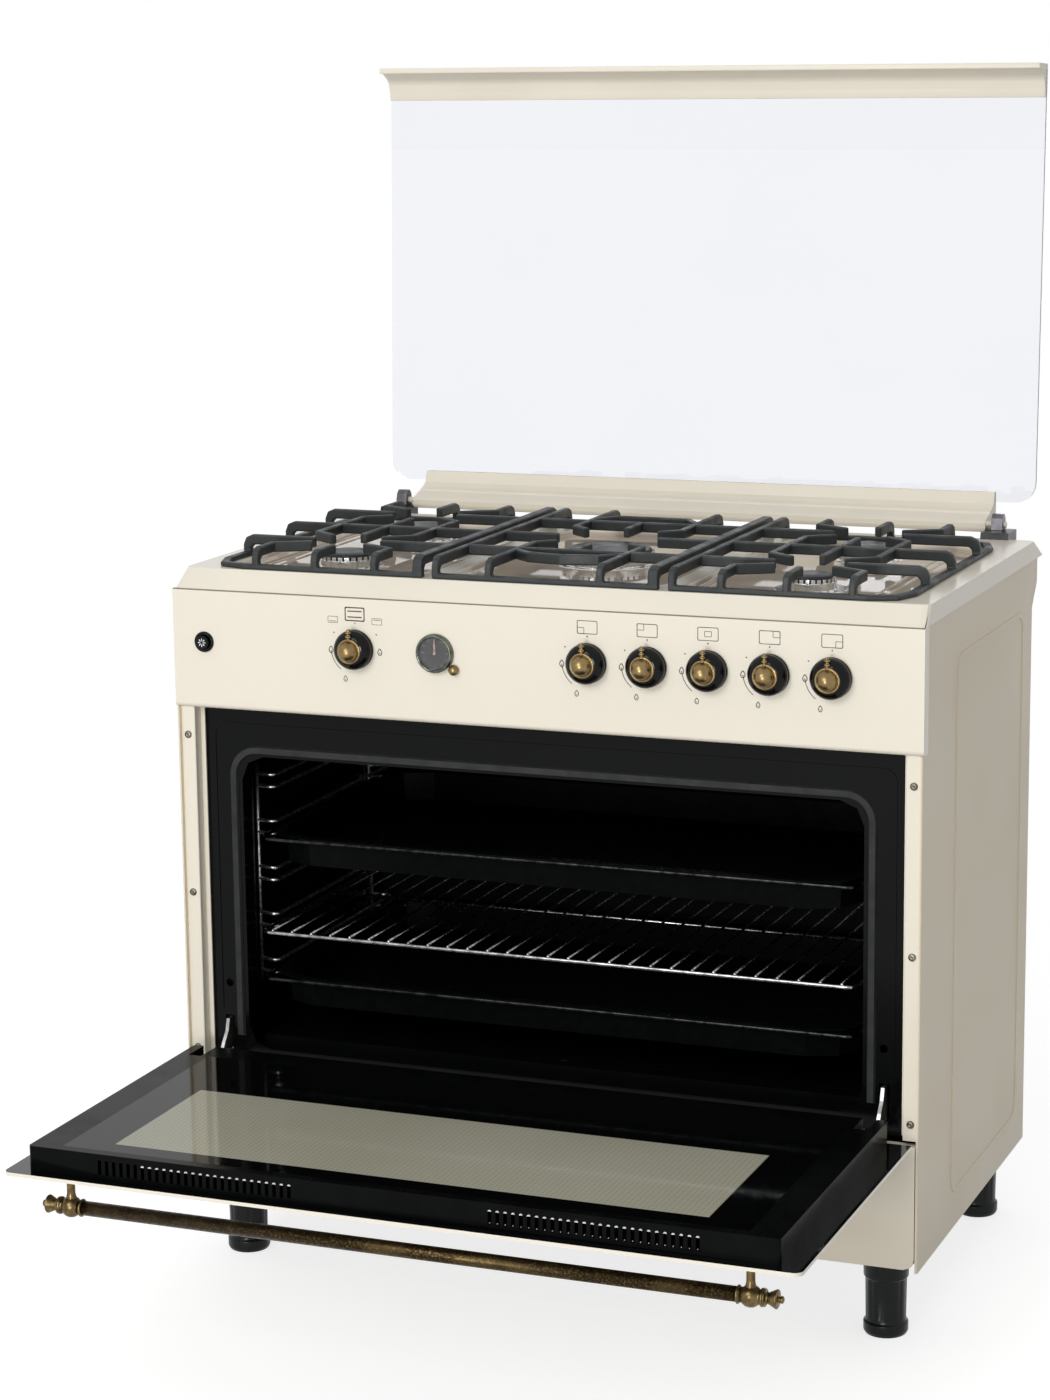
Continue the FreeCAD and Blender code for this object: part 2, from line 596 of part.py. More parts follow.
# ---------------------------------------------------------------- oven door, standing open
sheet_glass = body("door_outer_glass")
pad(sheet_glass, "XY_Plane", [[
    ("-door_half", "-door_tail", "2"), ("-door_half", "-door_free", "10"),
    ("door_half", "-door_free", "10"), ("door_half", "-door_tail", "2")]],
    "glass", "door_pin - door_face")

box = body("door_inner_frame")
under = "door_pin - door_face + glass"
NOTCH = []
for sign in ("-", ""):
    NOTCH.append(frame(sign + "slot_across - notch_wide/2", sign + "slot_across + notch_wide/2",
                       "-box_tail - notch_long", "-box_tail + 1"))
pad(box, "XY_Plane", [frame("-box_half", "box_half", "-box_free", "-box_tail", "4")],
    "box_deep", under)
cut(box, "XY_Plane", [frame("-box_half + box_wall", "box_half - box_wall",
    "-box_free + box_wall", "-box_tail - box_wall")], "box_deep - pane_thick - box_wall",
    under, back=True, name="hollow")
cut(box, "XY_Plane", [frame("-pane_half", "pane_half", "-pane_free", "-pane_tail - notch_long + 20")],
    "pane_thick", under + " + box_deep", name="seat")
cut(box, "XY_Plane", [frame("-pane_half + pane_seat", "pane_half - pane_seat",
    "-pane_free + pane_seat", "-pane_tail - notch_long + 20 - pane_seat")],
    "box_deep", under + " + box_deep", name="opening")
LUGS = []
for sign in ("-", ""):
    LUGS.append(frame(sign + "slot_across - notch_wide/2 - 2", sign + "slot_across + notch_wide/2 + 2",
                      "-box_tail - notch_long - 2", "-box_tail"))
pad(box, "XY_Plane", LUGS, "box_deep", under, name="lugs")
cut(box, "XY_Plane", NOTCH, "box_deep + 2", under + " + box_deep + 1", name="notches")
for n, sign in enumerate((-1, 1)):
    one = cut(box, "XZ_Plane", [frame("%d*vent_first - vent_wide/2" % sign,
        "%d*vent_first + vent_wide/2" % sign, under + " + 5", under + " + 5 + vent_high")],
        "box_wall + 1", "box_free - box_wall - 0.5", back=True, name="vent_%d" % (n + 1))
    row = box.newObject("PartDesign::LinearPattern", "vent_row_%d" % (n + 1))
    row.Originals = [one]
    row.Direction = (one.Profile[0], ["H_Axis"])
    row.Reversed = sign < 0
    bind(row, "Length", "vent_pitch*(vent_count - 1)")
    bind(row, "Occurrences", "vent_count")
    box.Tip = row

pane = body("door_inner_glass")
pad(pane, "XY_Plane", [frame("-pane_half + fit", "pane_half - fit", "-pane_free + fit",
    "-pane_tail - notch_long + 20 - fit")], "pane_thick", under + " + box_deep - pane_thick")

# hinge arm, fixed to the oven frame: hooked behind the slot, curving forward and down to the pin
arm = body("door_hinge_arm")
pad(arm, "YZ_Plane", [
    [("-frame_back + 8", "slot_high - 3"), ("-frame_back - 6", "slot_high - 3"),
     ("-door_axis + 24", "door_pin + 36"), ("-door_axis + 14", "door_pin + 24"),
     ("-door_axis + 7", "door_pin + 12"), ("-door_axis - boss", "door_pin + 6"),
     ("-door_axis - boss", "door_pin - boss + 4"), ("-door_axis - boss + 4", "door_pin - boss"),
     ("-door_axis + boss - 4", "door_pin - boss"), ("-door_axis + boss", "door_pin - boss + 4"),
     ("-door_axis + boss + 2", "door_pin + 2"),
     ("-frame_back - 1", "slot_low + 2"), ("-frame_back + steel", "slot_low + 2"),
     ("-frame_back + steel", "slot_low - 12"), ("-frame_back + 8", "slot_low - 12")],
    ["round", "-door_axis", "door_pin", "pin_radius + fit"]],
    "arm_thick", "slot_across - arm_thick/2")
pair("door_hinge_arms", arm)

# cheeks of the door on both sides of the arm, and the pin riveted into them
cheek = body("door_hinge_cheeks")
CHEEK = [
    ("-box_tail - notch_long + 6", "door_pin + 3"), ("-box_tail - notch_long + 6", "door_pin + 20"),
    ("-box_tail - 5", "door_pin + 20"), ("-box_tail", "door_pin + 15"),
    ("-door_axis + boss", "door_pin + boss - 2"), ("-door_axis + boss", "door_pin - boss + 4"),
    ("-door_axis + boss - 4", "door_pin - boss"), ("-door_axis - boss + 4", "door_pin - boss"),
    ("-door_axis - boss", "door_pin - boss + 4"), ("-door_axis - boss", "door_pin + 3")]
pad(cheek, "YZ_Plane", [CHEEK], "cheek_thick", "slot_across - notch_wide/2", name="inner")
cheek.AllowCompound = True
pad(cheek, "YZ_Plane", [CHEEK], "cheek_thick", "slot_across + notch_wide/2 - cheek_thick",
    name="outer")
pad(cheek, "YZ_Plane", [["round", "-door_axis", "door_pin", "pin_radius"]],
    "notch_wide - 2*cheek_thick", "slot_across - notch_wide/2 + cheek_thick", name="pin")
pair("door_hinges", cheek)

# handle: a turned bar through two balls, each on a stem with a rosette against the glass
GRIP = ("0", "centre_back - grip_back", "door_pin - door_face - grip_drop")
bar = body("handle_bar", GRIP)
pad(bar, "YZ_Plane", [ngon("0", "0", "grip_radius", 16)], "2*grip_half + 2*ball + 4", both=True)
holder = doc.addObject("PartDesign::Body", "handle_holder")
knuckle = pad(holder, "YZ_Plane", [ngon("0", "0", "ball", 16)], "2*ball - 6", both=True, name="ball")
slope(holder, knuckle, "x", ["ball - 3", "3 - ball"], "ball - 4", "3.6", name="ball_ends")
pad(holder, "XY_Plane", [ngon("0", "0", "stem", 12)], "grip_drop", name="stem")
pad(holder, "XY_Plane", [ngon("0", "0", "rosette", 16)], "3", "grip_drop", back=True, name="rosette")
pad(holder, "XY_Plane", [ngon("0", "0", "rosette - 5", 16)], "6", "grip_drop", back=True, name="step")
cut(holder, "YZ_Plane", [ngon("0", "0", "grip_radius", 16)], "4*ball", both=True, name="bore")
posts = several("handle_posts", holder, [("-grip_half",) + GRIP[1:], ("grip_half",) + GRIP[1:]])
tip = doc.addObject("PartDesign::Body", "handle_tip")
bud = pad(tip, "YZ_Plane", [ngon("0", "0", "grip_radius + 1.7", 16)], "grip_tip - grip_half - ball - 6",
    "grip_half + ball + 6", name="bud")
slope(tip, bud, "x", ["grip_half + ball + 6", "grip_tip"], "8", "5", name="ends")
pad(tip, "YZ_Plane", [ngon("0", "0", "grip_radius + 1.5", 16)], "4", "grip_half + ball + 2",
    name="collar")
tips = doc.addObject("Part::Mirroring", "handle_tip_other")
tips.Source = tip
tips.Normal = V(1, 0, 0)
ends = doc.addObject("Part::Compound", "handle_finials")
ends.Links = [tip, tips]
piece(ends, "handle_finials", GRIP)
together("door_handle", [bar, posts, ends])

# ---------------------------------------------------------------- flap under the oven
flap = body("lower_flap")
pad(flap, "XZ_Plane", [
    [("-flap_half", "flap_high")] + soft("-flap_half", "flap_half", "flap_low", "flap_high",
    "flap_corner")[:6] + [("flap_half", "flap_high")]], "flap_turn", "front - flap_turn")
cut(flap, "XZ_Plane", [
    [("2 - flap_half", "flap_high - 2")] + soft("2 - flap_half", "flap_half - 2", "flap_low + 2",
    "flap_high - 2", "flap_corner - 2")[:6] + [("flap_half - 2", "flap_high - 2")]],
    "flap_turn - steel", "front - flap_turn", back=True, name="back")
cut(flap, "YZ_Plane", [["round", "-flap_pin_back", "flap_pin_up", "flap_pin + fit"]],
    "2*flap_half + 10", both=True, name="bores")
stud = doc.addObject("PartDesign::Body", "flap_stud")
pad(stud, "YZ_Plane", [["round", "-flap_pin_back", "flap_pin_up", "flap_pin"]],
    "half_width - steel - flap_half + 6", "flap_half - 6")
studs = doc.addObject("Part::Mirroring", "flap_stud_other")
studs.Source = stud
studs.Normal = V(1, 0, 0)
flap_pins = doc.addObject("Part::Compound", "flap_hinge_pins")
flap_pins.Links = [stud, studs]
piece(flap_pins, "flap_hinge_pins")
together("front_fixings", [screw_row, flap_pins])

# ---------------------------------------------------------------- lid, leaning back on its pins
LID = ("0", "centre_back + lid_axis", "lid_up")


def leaning(thing):
    thing.Placement.Rotation = FreeCAD.Rotation(V(1, 0, 0), 0)
    bind(thing, "Placement.Rotation.Axis.x", "1")
    bind(thing, "Placement.Rotation.Angle", "-lid_lean")


glass = body("lid_glass", LID)
pad(glass, "XZ_Plane", [[("-lid_half", "lid_foot", "lid_corner"), ("lid_half", "lid_foot", "lid_corner"),
    ("lid_half", "lid_top - lip_thick"), ("-lid_half", "lid_top - lip_thick")]],
    "lid_glass", "-lid_plane - lid_glass")
leaning(glass)
crown = body("lid_top_rail", LID)
pad(crown, "YZ_Plane", [[
    ("lid_plane - 3", "cove_low"), ("lid_plane", "cove_low"), ("lid_plane", "lid_top - lip_thick"),
    ("lid_plane + lid_glass", "lid_top - lip_thick"), ("lid_plane + lid_glass", "cove_low"),
    ("lid_plane + lid_glass + 1.5", "cove_low"), ("lid_plane + lid_glass + 1.5", "lid_top", "2"),
    ("lid_plane - lip_reach", "lid_top", "2"), ("lid_plane - lip_reach", "lid_top - lip_thick", "2"),
    ("lid_plane - lip_reach + 10", "lid_top - lip_thick"),
    ("lid_plane - 10", "lid_top - 16", "12"), ("lid_plane - 5", "cove_low + 10", "6")]],
    "2*lid_half", both=True)
leaning(crown)
rail = body("lid_hinge_rail", LID)
pad(rail, "YZ_Plane", [[
    ("lid_plane - 3", "rail_high"), ("lid_plane", "rail_high"), ("lid_plane", "lid_foot"),
    ("lid_plane + lid_glass", "lid_foot"), ("lid_plane + lid_glass", "rail_high"),
    ("lid_plane + lid_glass + 1.5", "rail_high"), ("lid_plane + lid_glass + 1.5", "6 - rail_low"),
    ("lid_plane + lid_glass - 2", "2 - rail_low"), ("lid_plane - 14", "-rail_low"),
    ("5 - rail_front", "-rail_low"), ("1.5 - rail_front", "1.5 - rail_low"),
    ("-rail_front", "5 - rail_low"), ("-rail_front", "1"), ("4 - rail_front", "5"),
    ("14", "11"), ("16", "8"), ("18", "13"), ("lid_plane - 15", "16"), ("lid_plane - 7", "21")]],
    "2*rail_half", both=True)
for n, back in enumerate((False, True)):
    start = "rail_half" if n == 0 else "-rail_half"
    pad(rail, "YZ_Plane", [["round", "0", "0", "lid_pin"]], "ear_out + 3 - rail_half", start,
        back=back, name="pin_%d" % (n + 1))
leaning(rail)

block = body("lid_hinge_block")
pad(block, "YZ_Plane", [[
    ("block_front", "hob_top"), ("hob_flat_back", "hob_top"),
    ("hob_back - 3", "deck + (hob_top - deck)*3/(hob_back - hob_flat_back)"),
    ("block_back", "deck + (hob_top - deck)*3/(hob_back - hob_flat_back)"),
    ("block_back", "block_top", "2"), ("block_front + 3", "block_top")]],
    "block_out - block_in", "block_in")
pair("lid_hinge_blocks", block)
ear = body("lid_hinge_ear")
pad(ear, "YZ_Plane", [
    [("lid_axis - 10", "block_top"), ("lid_axis + 10", "block_top"),
     ("lid_axis + 8", "ear_high - 5"), ("lid_axis + 3", "ear_high"),
     ("lid_axis - 3", "ear_high"), ("lid_axis - 8", "ear_high - 5")],
    ["round", "lid_axis", "lid_up", "lid_pin + fit"]],
    "ear_out - ear_in", "ear_in")
pair("lid_hinge_ears", ear)

# ---------------------------------------------------------------- burners
KINDS = {"small": ("cap_small", "cup_radius", 16, 8), "medium": ("cap_medium", "cup_radius", 16, 8),
         "wok": ("cap_wok", "cup_wok", 24, 16)}
lift = "hob_top - well_deep"
seat = "cap_top - cap_thick"
stock = {}
for kind, (cap, cup, sides, count) in KINDS.items():
    # a flange over the hole in the hob, and the slotted flame ring standing on it
    head = doc.addObject("PartDesign::Body", "burner_" + kind)
    flange = pad(head, "XY_Plane", [ngon("0", "0", cup, sides)], "3", lift, name="flange")
    slope(head, flange, "z", [lift + " + 3"], "2", "4", name="flange_slope")
    pad(head, "XY_Plane", [ngon("0", "0", cap + " + 2", sides)],
        "cap_top - cap_thick - hob_top + well_deep - 3", lift + " + 3", name="flame_ring")
    slot = cut(head, "XY_Plane", [frame(cap + " - 7", cap + " + 4", "-1", "1")],
               "3.5", seat, name="flame_slot")
    ring = head.newObject("PartDesign::PolarPattern", "flame_slots_" + kind)
    ring.Originals = [slot]
    ring.Axis = (slot.Profile[0], ["N_Axis"])
    ring.Angle = 360
    ring.Occurrences = count
    head.Tip = ring
    lid = doc.addObject("PartDesign::Body", "burner_lid_" + kind)
    top = pad(lid, "XY_Plane", [ngon("0", "0", cap, sides)], "cap_thick", seat, name="disc")
    slope(lid, top, "z", ["cap_top"], "2", "3.5", name="edge")
    stock[cap] = (head, lid)
heads = []
for name, (x, y, cap, cup) in BURNERS.items():
    spot = (x, "centre_back + " + y if y[0] != "-" else "centre_back " + y, "0")
    head, lid = stock[cap]
    heads.append(several("burner_" + name, head, [spot]))
    several("burner_cap_" + name, lid, [spot])
together("burner_heads", heads)

# ---------------------------------------------------------------- cast pan supports
TOP = val("grid_top")
UNDER = TOP - val("grid_deep")
FLOOR = val("hob_top")


def bar(points, wide, low=UNDER, high=TOP):
    """A straight-sided bar along a line of points in plan, mitred where it turns."""
    pts = [V(p[0], p[1], 0) for p in points]
    left = []
    right = []
    for i, p in enumerate(pts):
        before = (p - pts[i - 1]).normalize() if i else (pts[1] - p).normalize()
        after = (pts[i + 1] - p).normalize() if i + 1 < len(pts) else before
        along = (before + after).normalize()
        side = V(-along.y, along.x, 0)
        half = wide / 2 / max(0.5, abs(side * V(-before.y, before.x, 0)))
        left.append(p + side * half)
        right.append(p - side * half)
    loop = left + right[::-1]
    face = Part.Face(Part.makePolygon(loop + loop[:1]))
    solid = face.extrude(V(0, 0, high - low))
    solid.translate(V(0, 0, low))
    return solid


def leg(x, y, dx, dy, wide):
    """An upright from the base frame, its shoulder rounded into a raised bar that heads along
    (dx, dy)."""
    r = val("grid_bend")
    k = 0.293 * r
    at = lambda s, z: V(x + dx * s, y + dy * s, z)
    corners = [at(0, FLOOR), at(0, TOP - r), at(k, TOP - k), at(r, TOP), at(r + 2, TOP),
               at(r + 2, UNDER), at(r - 2, UNDER - 4), at(r - 2, FLOOR)]
    face = Part.Face(Part.makePolygon(corners + corners[:1]))
    side = V(-dy, dx, 0)
    face.translate(side * (-wide / 2))
    return face.extrude(side * wide)


def side_grid(sign):
    """The pan support over two burners at one side. Drawn for the right, mirrored for the left."""
    near = -val("grid_front")
    far = val("grid_rear")
    out = val("grid_out")
    inn = val("grid_in")
    x = val("side_burner")
    thin = val("grid_bar")
    base = val("base_bar")
    low = val("base_high")
    r = val("grid_corner")
    rows = (-val("front_burner"), val("rear_burner"))
    mid = (rows[0] + rows[1]) / 2
    reach = val("reach")
    splay = val("splay")
    inner = val("grid_thick") if sign < 0 else thin
    parts = []
    # base frame: front, outer side and rear, lying on the hob
    k = r * (1 - math.sqrt(0.5))
    h = base / 2
    path = [(inn, near + h), (out - r, near + h), (out - k - 2, near + k + 2), (out - h, near + r),
            (out - h, far - r), (out - k - 2, far - k - 2), (out - r, far - h), (inn, far - h)]
    parts.append(bar(path, base, FLOOR, FLOOR + low))
    # inner raised bar from front leg to rear leg
    xi = inn + inner / 2
    parts.append(bar([(xi, near + 12), (xi, far - 12)], inner))
    parts.append(leg(xi, near, 0, 1, inner))
    parts.append(leg(xi, far, 0, -1, inner))
    # cross bars from the outer side
    for y in (rows[0], mid, rows[1]):
        parts.append(leg(out, y, -1, 0, thin))
    parts.append(bar([(out - 12, mid), (inn + 2, mid)], thin))
    for y in rows:
        parts.append(bar([(out - 12, y), (x + reach, y)], thin))
        parts.append(bar([(x - reach, y), (inn + 2, y)], thin))
    # bars along the burner column
    for y0, dy, row in ((near, 1, rows[0]), (far, -1, rows[1])):
        parts.append(leg(x, y0, 0, dy, thin))
        parts.append(bar([(x, y0 + 12 * dy), (x, row - reach * dy)], thin))
        for side in (-1, 1):
            a = x + side * splay
            parts.append(leg(a, y0, 0, dy, thin))
            parts.append(bar([(a, y0 + 12 * dy), (a, row - 50 * dy),
                              (x + side * 34, row - 27 * dy)], thin))
    parts.append(bar([(x, rows[0] + reach), (x, rows[1] - reach)], thin))
    # bent bars each side of the column, crossing the middle bar
    for side in (-1, 1):
        parts.append(bar([(x + side * 31, rows[0] + 27), (x + side * 62, rows[0] + 50),
                          (x + side * 62, rows[1] - 50), (x + side * 31, rows[1] - 27)], thin))
    whole = parts[0].multiFuse(parts[1:]).removeSplitter()
    return whole if sign > 0 else whole.mirror(V(0, 0, 0), V(1, 0, 0))


def middle_grid():
    """The pan support over the large centre burner."""
    near = -val("grid_front")
    far = val("grid_rear")
    half = val("grid_mid")
    thin = val("grid_bar")
    thick = val("grid_thick")
    base = val("base_bar")
    low = val("base_high")
    cy = -val("wok_burner")
    step = val("cross_step")
    reach = val("reach_wok")
    span = reach + 5
    parts = []
    h = base / 2
    for y in (near + h, far - h):
        parts.append(bar([(-half, y), (half, y)], base, FLOOR, FLOOR + low))
    for x, wide in ((-half + thin / 2, thin), (half - thick / 2, thick)):
        parts.append(bar([(x, near + 12), (x, far - 12)], wide))
        parts.append(leg(x, near, 0, 1, wide))
        parts.append(leg(x, far, 0, -1, wide))
    for y in (cy - step, cy + step):
        parts.append(bar([(-half + 4, y), (half - 4, y)], thin))
    for side in (-1, 1):
        parts.append(bar([(side * (half - 4), cy), (side * reach, cy)], thin))
        for y0, dy in ((near, 1), (far, -1)):
            row = cy - step * dy
            parts.append(leg(side * span, y0, 0, dy, thin))
            parts.append(bar([(side * span, y0 + 12 * dy), (side * span, row + 46 * dy),
                              (side * 45, row + 66 * dy)], thin))
    for dy in (-1, 1):
        parts.append(bar([(0, cy + step * dy), (0, cy + reach * dy)], thin))
    front = cy - step
    parts.append(bar([(-span, front - 12), (-42, front - 33), (0, front - 41), (42, front - 33),
                      (span, front - 12)], thin))
    behind = cy + step
    parts.append(bar([(-span, behind + 14), (-45, behind + 44), (45, behind + 44),
                      (span, behind + 14)], thin))
    return parts[0].multiFuse(parts[1:]).removeSplitter()


made("pan_support_left", side_grid(-1))
made("pan_support_centre", middle_grid())
made("pan_support_right", side_grid(1))

# ---------------------------------------------------------------- knobs
NAMES = ("front_left", "rear_left", "centre", "rear_right", "front_right", "oven")
knob = doc.addObject("PartDesign::Body", "knob")
skirt = pad(knob, "XZ_Plane", [ngon("0", "0", "knob_radius", 16)], "knob_deep", name="skirt")
slope(knob, skirt, "y", ["-knob_deep"], "knob_deep - 3", "3.7", name="skirt_slope")
pad(knob, "XZ_Plane", [["round", "0", "0", "spindle"]], "spindle_long", back=True, name="spindle")
dome = doc.addObject("PartDesign::Body", "knob_dome")
crown = pad(dome, "XZ_Plane", [ngon("0", "0", "dome", 16)], "dome_deep", "knob_deep", name="crown")
slope(dome, crown, "y", ["-knob_deep - dome_deep"], "dome_deep - 5", "7", name="shoulder")
pad(dome, "XZ_Plane", [[("-2.2", "dome - 3"), ("2.2", "dome - 3"), ("2.2", "knob_radius - 3"),
    ("0", "knob_radius + 2"), ("-2.2", "knob_radius - 3")]], "3", "knob_deep", name="pointer")
for name, x in zip(NAMES, KNOBS):
    spot = (x, "centre_back - front - knob_gap", "knob_up")
    several("knob_" + name, knob, [spot])
    several("knob_cap_" + name, dome, [spot])

# ---------------------------------------------------------------- clock and light switch
CLOCK = ("-clock_across", "centre_back - front", "clock_up")
bezel = body("clock_bezel", CLOCK)
pad(bezel, "XZ_Plane", [ngon("0", "0", "clock_radius", 24)], "1", name="plate")
pad(bezel, "XZ_Plane", [ngon("0", "0", "clock_radius", 24), ngon("0", "0", "clock_radius - 4.5", 24)],
    "clock_deep - 1", "1", name="rim")
dial = body("clock_dial", CLOCK)
pad(dial, "XZ_Plane", [ngon("0", "0", "clock_radius - 4.7", 24)], "0.6", "1")
crystal = body("clock_glass", CLOCK)
pad(crystal, "XZ_Plane", [ngon("0", "0", "clock_radius - 4.5", 24)], "1.2", "clock_deep - 2")
hour = body("clock_hour_hand", CLOCK)
pad(hour, "XZ_Plane", [ngon("0", "0", "1.6", 8)], "1", "1.7", name="hub")
pad(hour, "XZ_Plane", [[("-1", "0"), ("1", "0"), ("1.1", "clock_radius - 13"), ("0", "clock_radius - 11"),
    ("-1.1", "clock_radius - 13")]], "0.5", "1.9", name="blade")
minute = body("clock_minute_hand", CLOCK)
pad(minute, "XZ_Plane", [ngon("0", "0", "1.6", 8)], "1", "2.9", name="hub")
pad(minute, "XZ_Plane", [[("-0.7", "0"), ("0.7", "0"), ("0.8", "clock_radius - 8"), ("0", "clock_radius - 6"),
    ("-0.8", "clock_radius - 8")]], "0.5", "3.1", name="blade")
setter = body("clock_set_knob", ("-set_across", "centre_back - front", "set_up"))
grip = pad(setter, "XZ_Plane", [ngon("0", "0", "set_radius", 12)], "8.7", "0.3", name="grip")
slope(setter, grip, "y", ["-9", "-0.3"], "2", "1", name="grip_ends")
pad(setter, "XZ_Plane", [ngon("0", "0", "2.5", 8)], "10.3", "-10", name="stalk")
LIGHT = ("-light_across", "centre_back - front", "light_up")
collar = body("light_bezel", LIGHT)
pad(collar, "XZ_Plane", [ngon("0", "0", "light_radius", 16), ngon("0", "0", "light_radius - 3", 16)], "3")
together("panel_bezels", [bezel, collar])
button = body("light_button", LIGHT)
pad(button, "XZ_Plane", [ngon("0", "0", "light_radius - 3.3", 16)], "15", "-8", name="stalk")

# ---------------------------------------------------------------- check and write
doc.recompute()
for thing in doc.Objects:
    if "Invalid" in thing.State or "Error" in thing.State:
        raise RuntimeError("%s failed: %s" % (thing.Label, thing.State))
for thing in pieces:
    if thing.Shape.isNull() or not thing.Shape.isValid() or not thing.Shape.Solids:
        raise RuntimeError("%s has no valid solid" % thing.Label)
os.makedirs("parts", exist_ok=True)
for thing in pieces:
    thing.Shape.exportStep("parts/%s.step" % thing.Label)
print(len(pieces), "sub-parts")
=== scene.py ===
import math

import bmesh
import bpy
from mathutils import Matrix, Vector


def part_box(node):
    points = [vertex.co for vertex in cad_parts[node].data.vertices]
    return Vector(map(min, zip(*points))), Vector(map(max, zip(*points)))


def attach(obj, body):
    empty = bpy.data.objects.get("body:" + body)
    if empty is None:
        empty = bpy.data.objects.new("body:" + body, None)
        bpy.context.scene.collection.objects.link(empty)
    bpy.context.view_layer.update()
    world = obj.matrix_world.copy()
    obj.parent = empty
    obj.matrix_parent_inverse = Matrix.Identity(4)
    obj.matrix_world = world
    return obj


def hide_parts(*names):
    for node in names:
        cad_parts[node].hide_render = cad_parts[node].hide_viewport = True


bl_info = {
    "name": "Range cooker dressing",
    "version": (1, 0, 0),
    "blender": (4, 5, 0),
    "location": "3D View > Sidebar > Cooker",
    "description": "Finishes a packed range cooker: enamel, glass, brass, cast bars, wires and panel prints",
    "category": "Object",
}

# Lengths are in metres. +X is to the right of someone facing the cooker, +Y goes back, +Z is up.
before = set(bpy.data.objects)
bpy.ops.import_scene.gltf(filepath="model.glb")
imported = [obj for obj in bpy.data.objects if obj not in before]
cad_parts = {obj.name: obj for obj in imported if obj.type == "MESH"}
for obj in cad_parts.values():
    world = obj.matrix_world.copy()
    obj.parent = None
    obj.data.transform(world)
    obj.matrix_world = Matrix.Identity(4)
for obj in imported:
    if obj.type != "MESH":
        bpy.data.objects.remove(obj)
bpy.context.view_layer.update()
FORWARD = (0, -1, 0)
UP = (0, 0, 1)


def middle(node):
    """The middle of a CAD node's box."""
    low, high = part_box(node)
    return (low + high) / 2


PANEL_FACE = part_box("control_panel")[0].y
BURNERS = ("front_left", "rear_left", "centre", "rear_right", "front_right")
KNOBS = {name: middle("knob_" + name).x for name in BURNERS + ("oven",)}
KNOB_UP = middle("knob_oven").z
CLOCK = middle("clock_dial")
LAMP = middle("light_button")

# the window printed on the door's panes, with the door standing open
WINDOW_HALF = 0.336
WINDOW_NEAR = -0.476
WINDOW_FAR = -0.276


# ---------------------------------------------------------------- settings a user may change
def linear(r, g, b):
    """A screen colour, 0 to 255, as the linear colour a shader takes."""
    return tuple(((c / 255 + 0.055) / 1.055) ** 2.4 if c > 10 else c / 255 / 12.92 for c in (r, g, b))


def tint(name, text, value):
    return bpy.props.FloatVectorProperty(
        name=name, description=text, subtype="COLOR", size=3, min=0, max=1, default=value)


def amount(name, text, value, unit="NONE"):
    return bpy.props.FloatProperty(name=name, description=text, default=value, unit=unit)


class CookerFinishes(bpy.types.PropertyGroup):
    """Colours of the cooker's finishes."""
    cream: tint("Cream enamel", "Colour of the cabinet, panel and hob", linear(238, 231, 215))
    # painted shade: the side sheets are the front's enamel, and this deeper, more saturated cream stands in
    # for the dimmer light on them
    side_shade_cream: tint("Side enamel", "Cream of the side sheets, deepened as painted shade", linear(237, 225, 201))
    cream_low: tint("Cream near the floor", "Cream enamel close to the floor", linear(224, 214, 194))
    oven_black: tint("Oven enamel", "Glossy enamel inside the oven", linear(8, 9, 9))
    cast: tint("Cast iron", "Enamelled cast pan supports", linear(30, 35, 35))
    brass_dark: tint("Dark brass", "Patina on the handle and knobs", linear(58, 47, 30))
    brass_light: tint("Rubbed brass", "Brass where hands rub it", linear(166, 142, 98))
    print_ink: tint("Panel ink", "Signs printed on the panel", linear(72, 58, 50))


class CookerSizes(bpy.types.PropertyGroup):
    """Sizes of the details that are added in Blender."""
    print_height: amount("Ink thickness", "How far a printed sign stands off the panel", 0.00012, "LENGTH")
    smooth_steps: bpy.props.IntProperty(
        name="Steps round", description="Flat steps round a turned piece", default=64, min=12, max=128)


class CookerStage(bpy.types.PropertyGroup):
    """Floor, light and camera."""
    floor_tone: tint("Floor", "Colour of the floor", (0.45, 0.45, 0.455))
    floor_glow: amount("Floor whiteness", "White added to the floor as the camera sees it", 0.73)
    sky_fill: amount("Fill", "Strength of the light from above, over that from the sides", 0.5)
    side_fill: amount("Side fill", "Strength of the light from the sides", 0.24)
    key_power: amount("Key lamp", "Watts of the large soft lamp", 98.0, "POWER")
    front_power: amount("Front lamp", "Watts of the low lamp in front", 88.0, "POWER")
    lens: amount("Lens", "Focal length in millimetres on a 36 mm high frame", 85.733, "CAMERA")


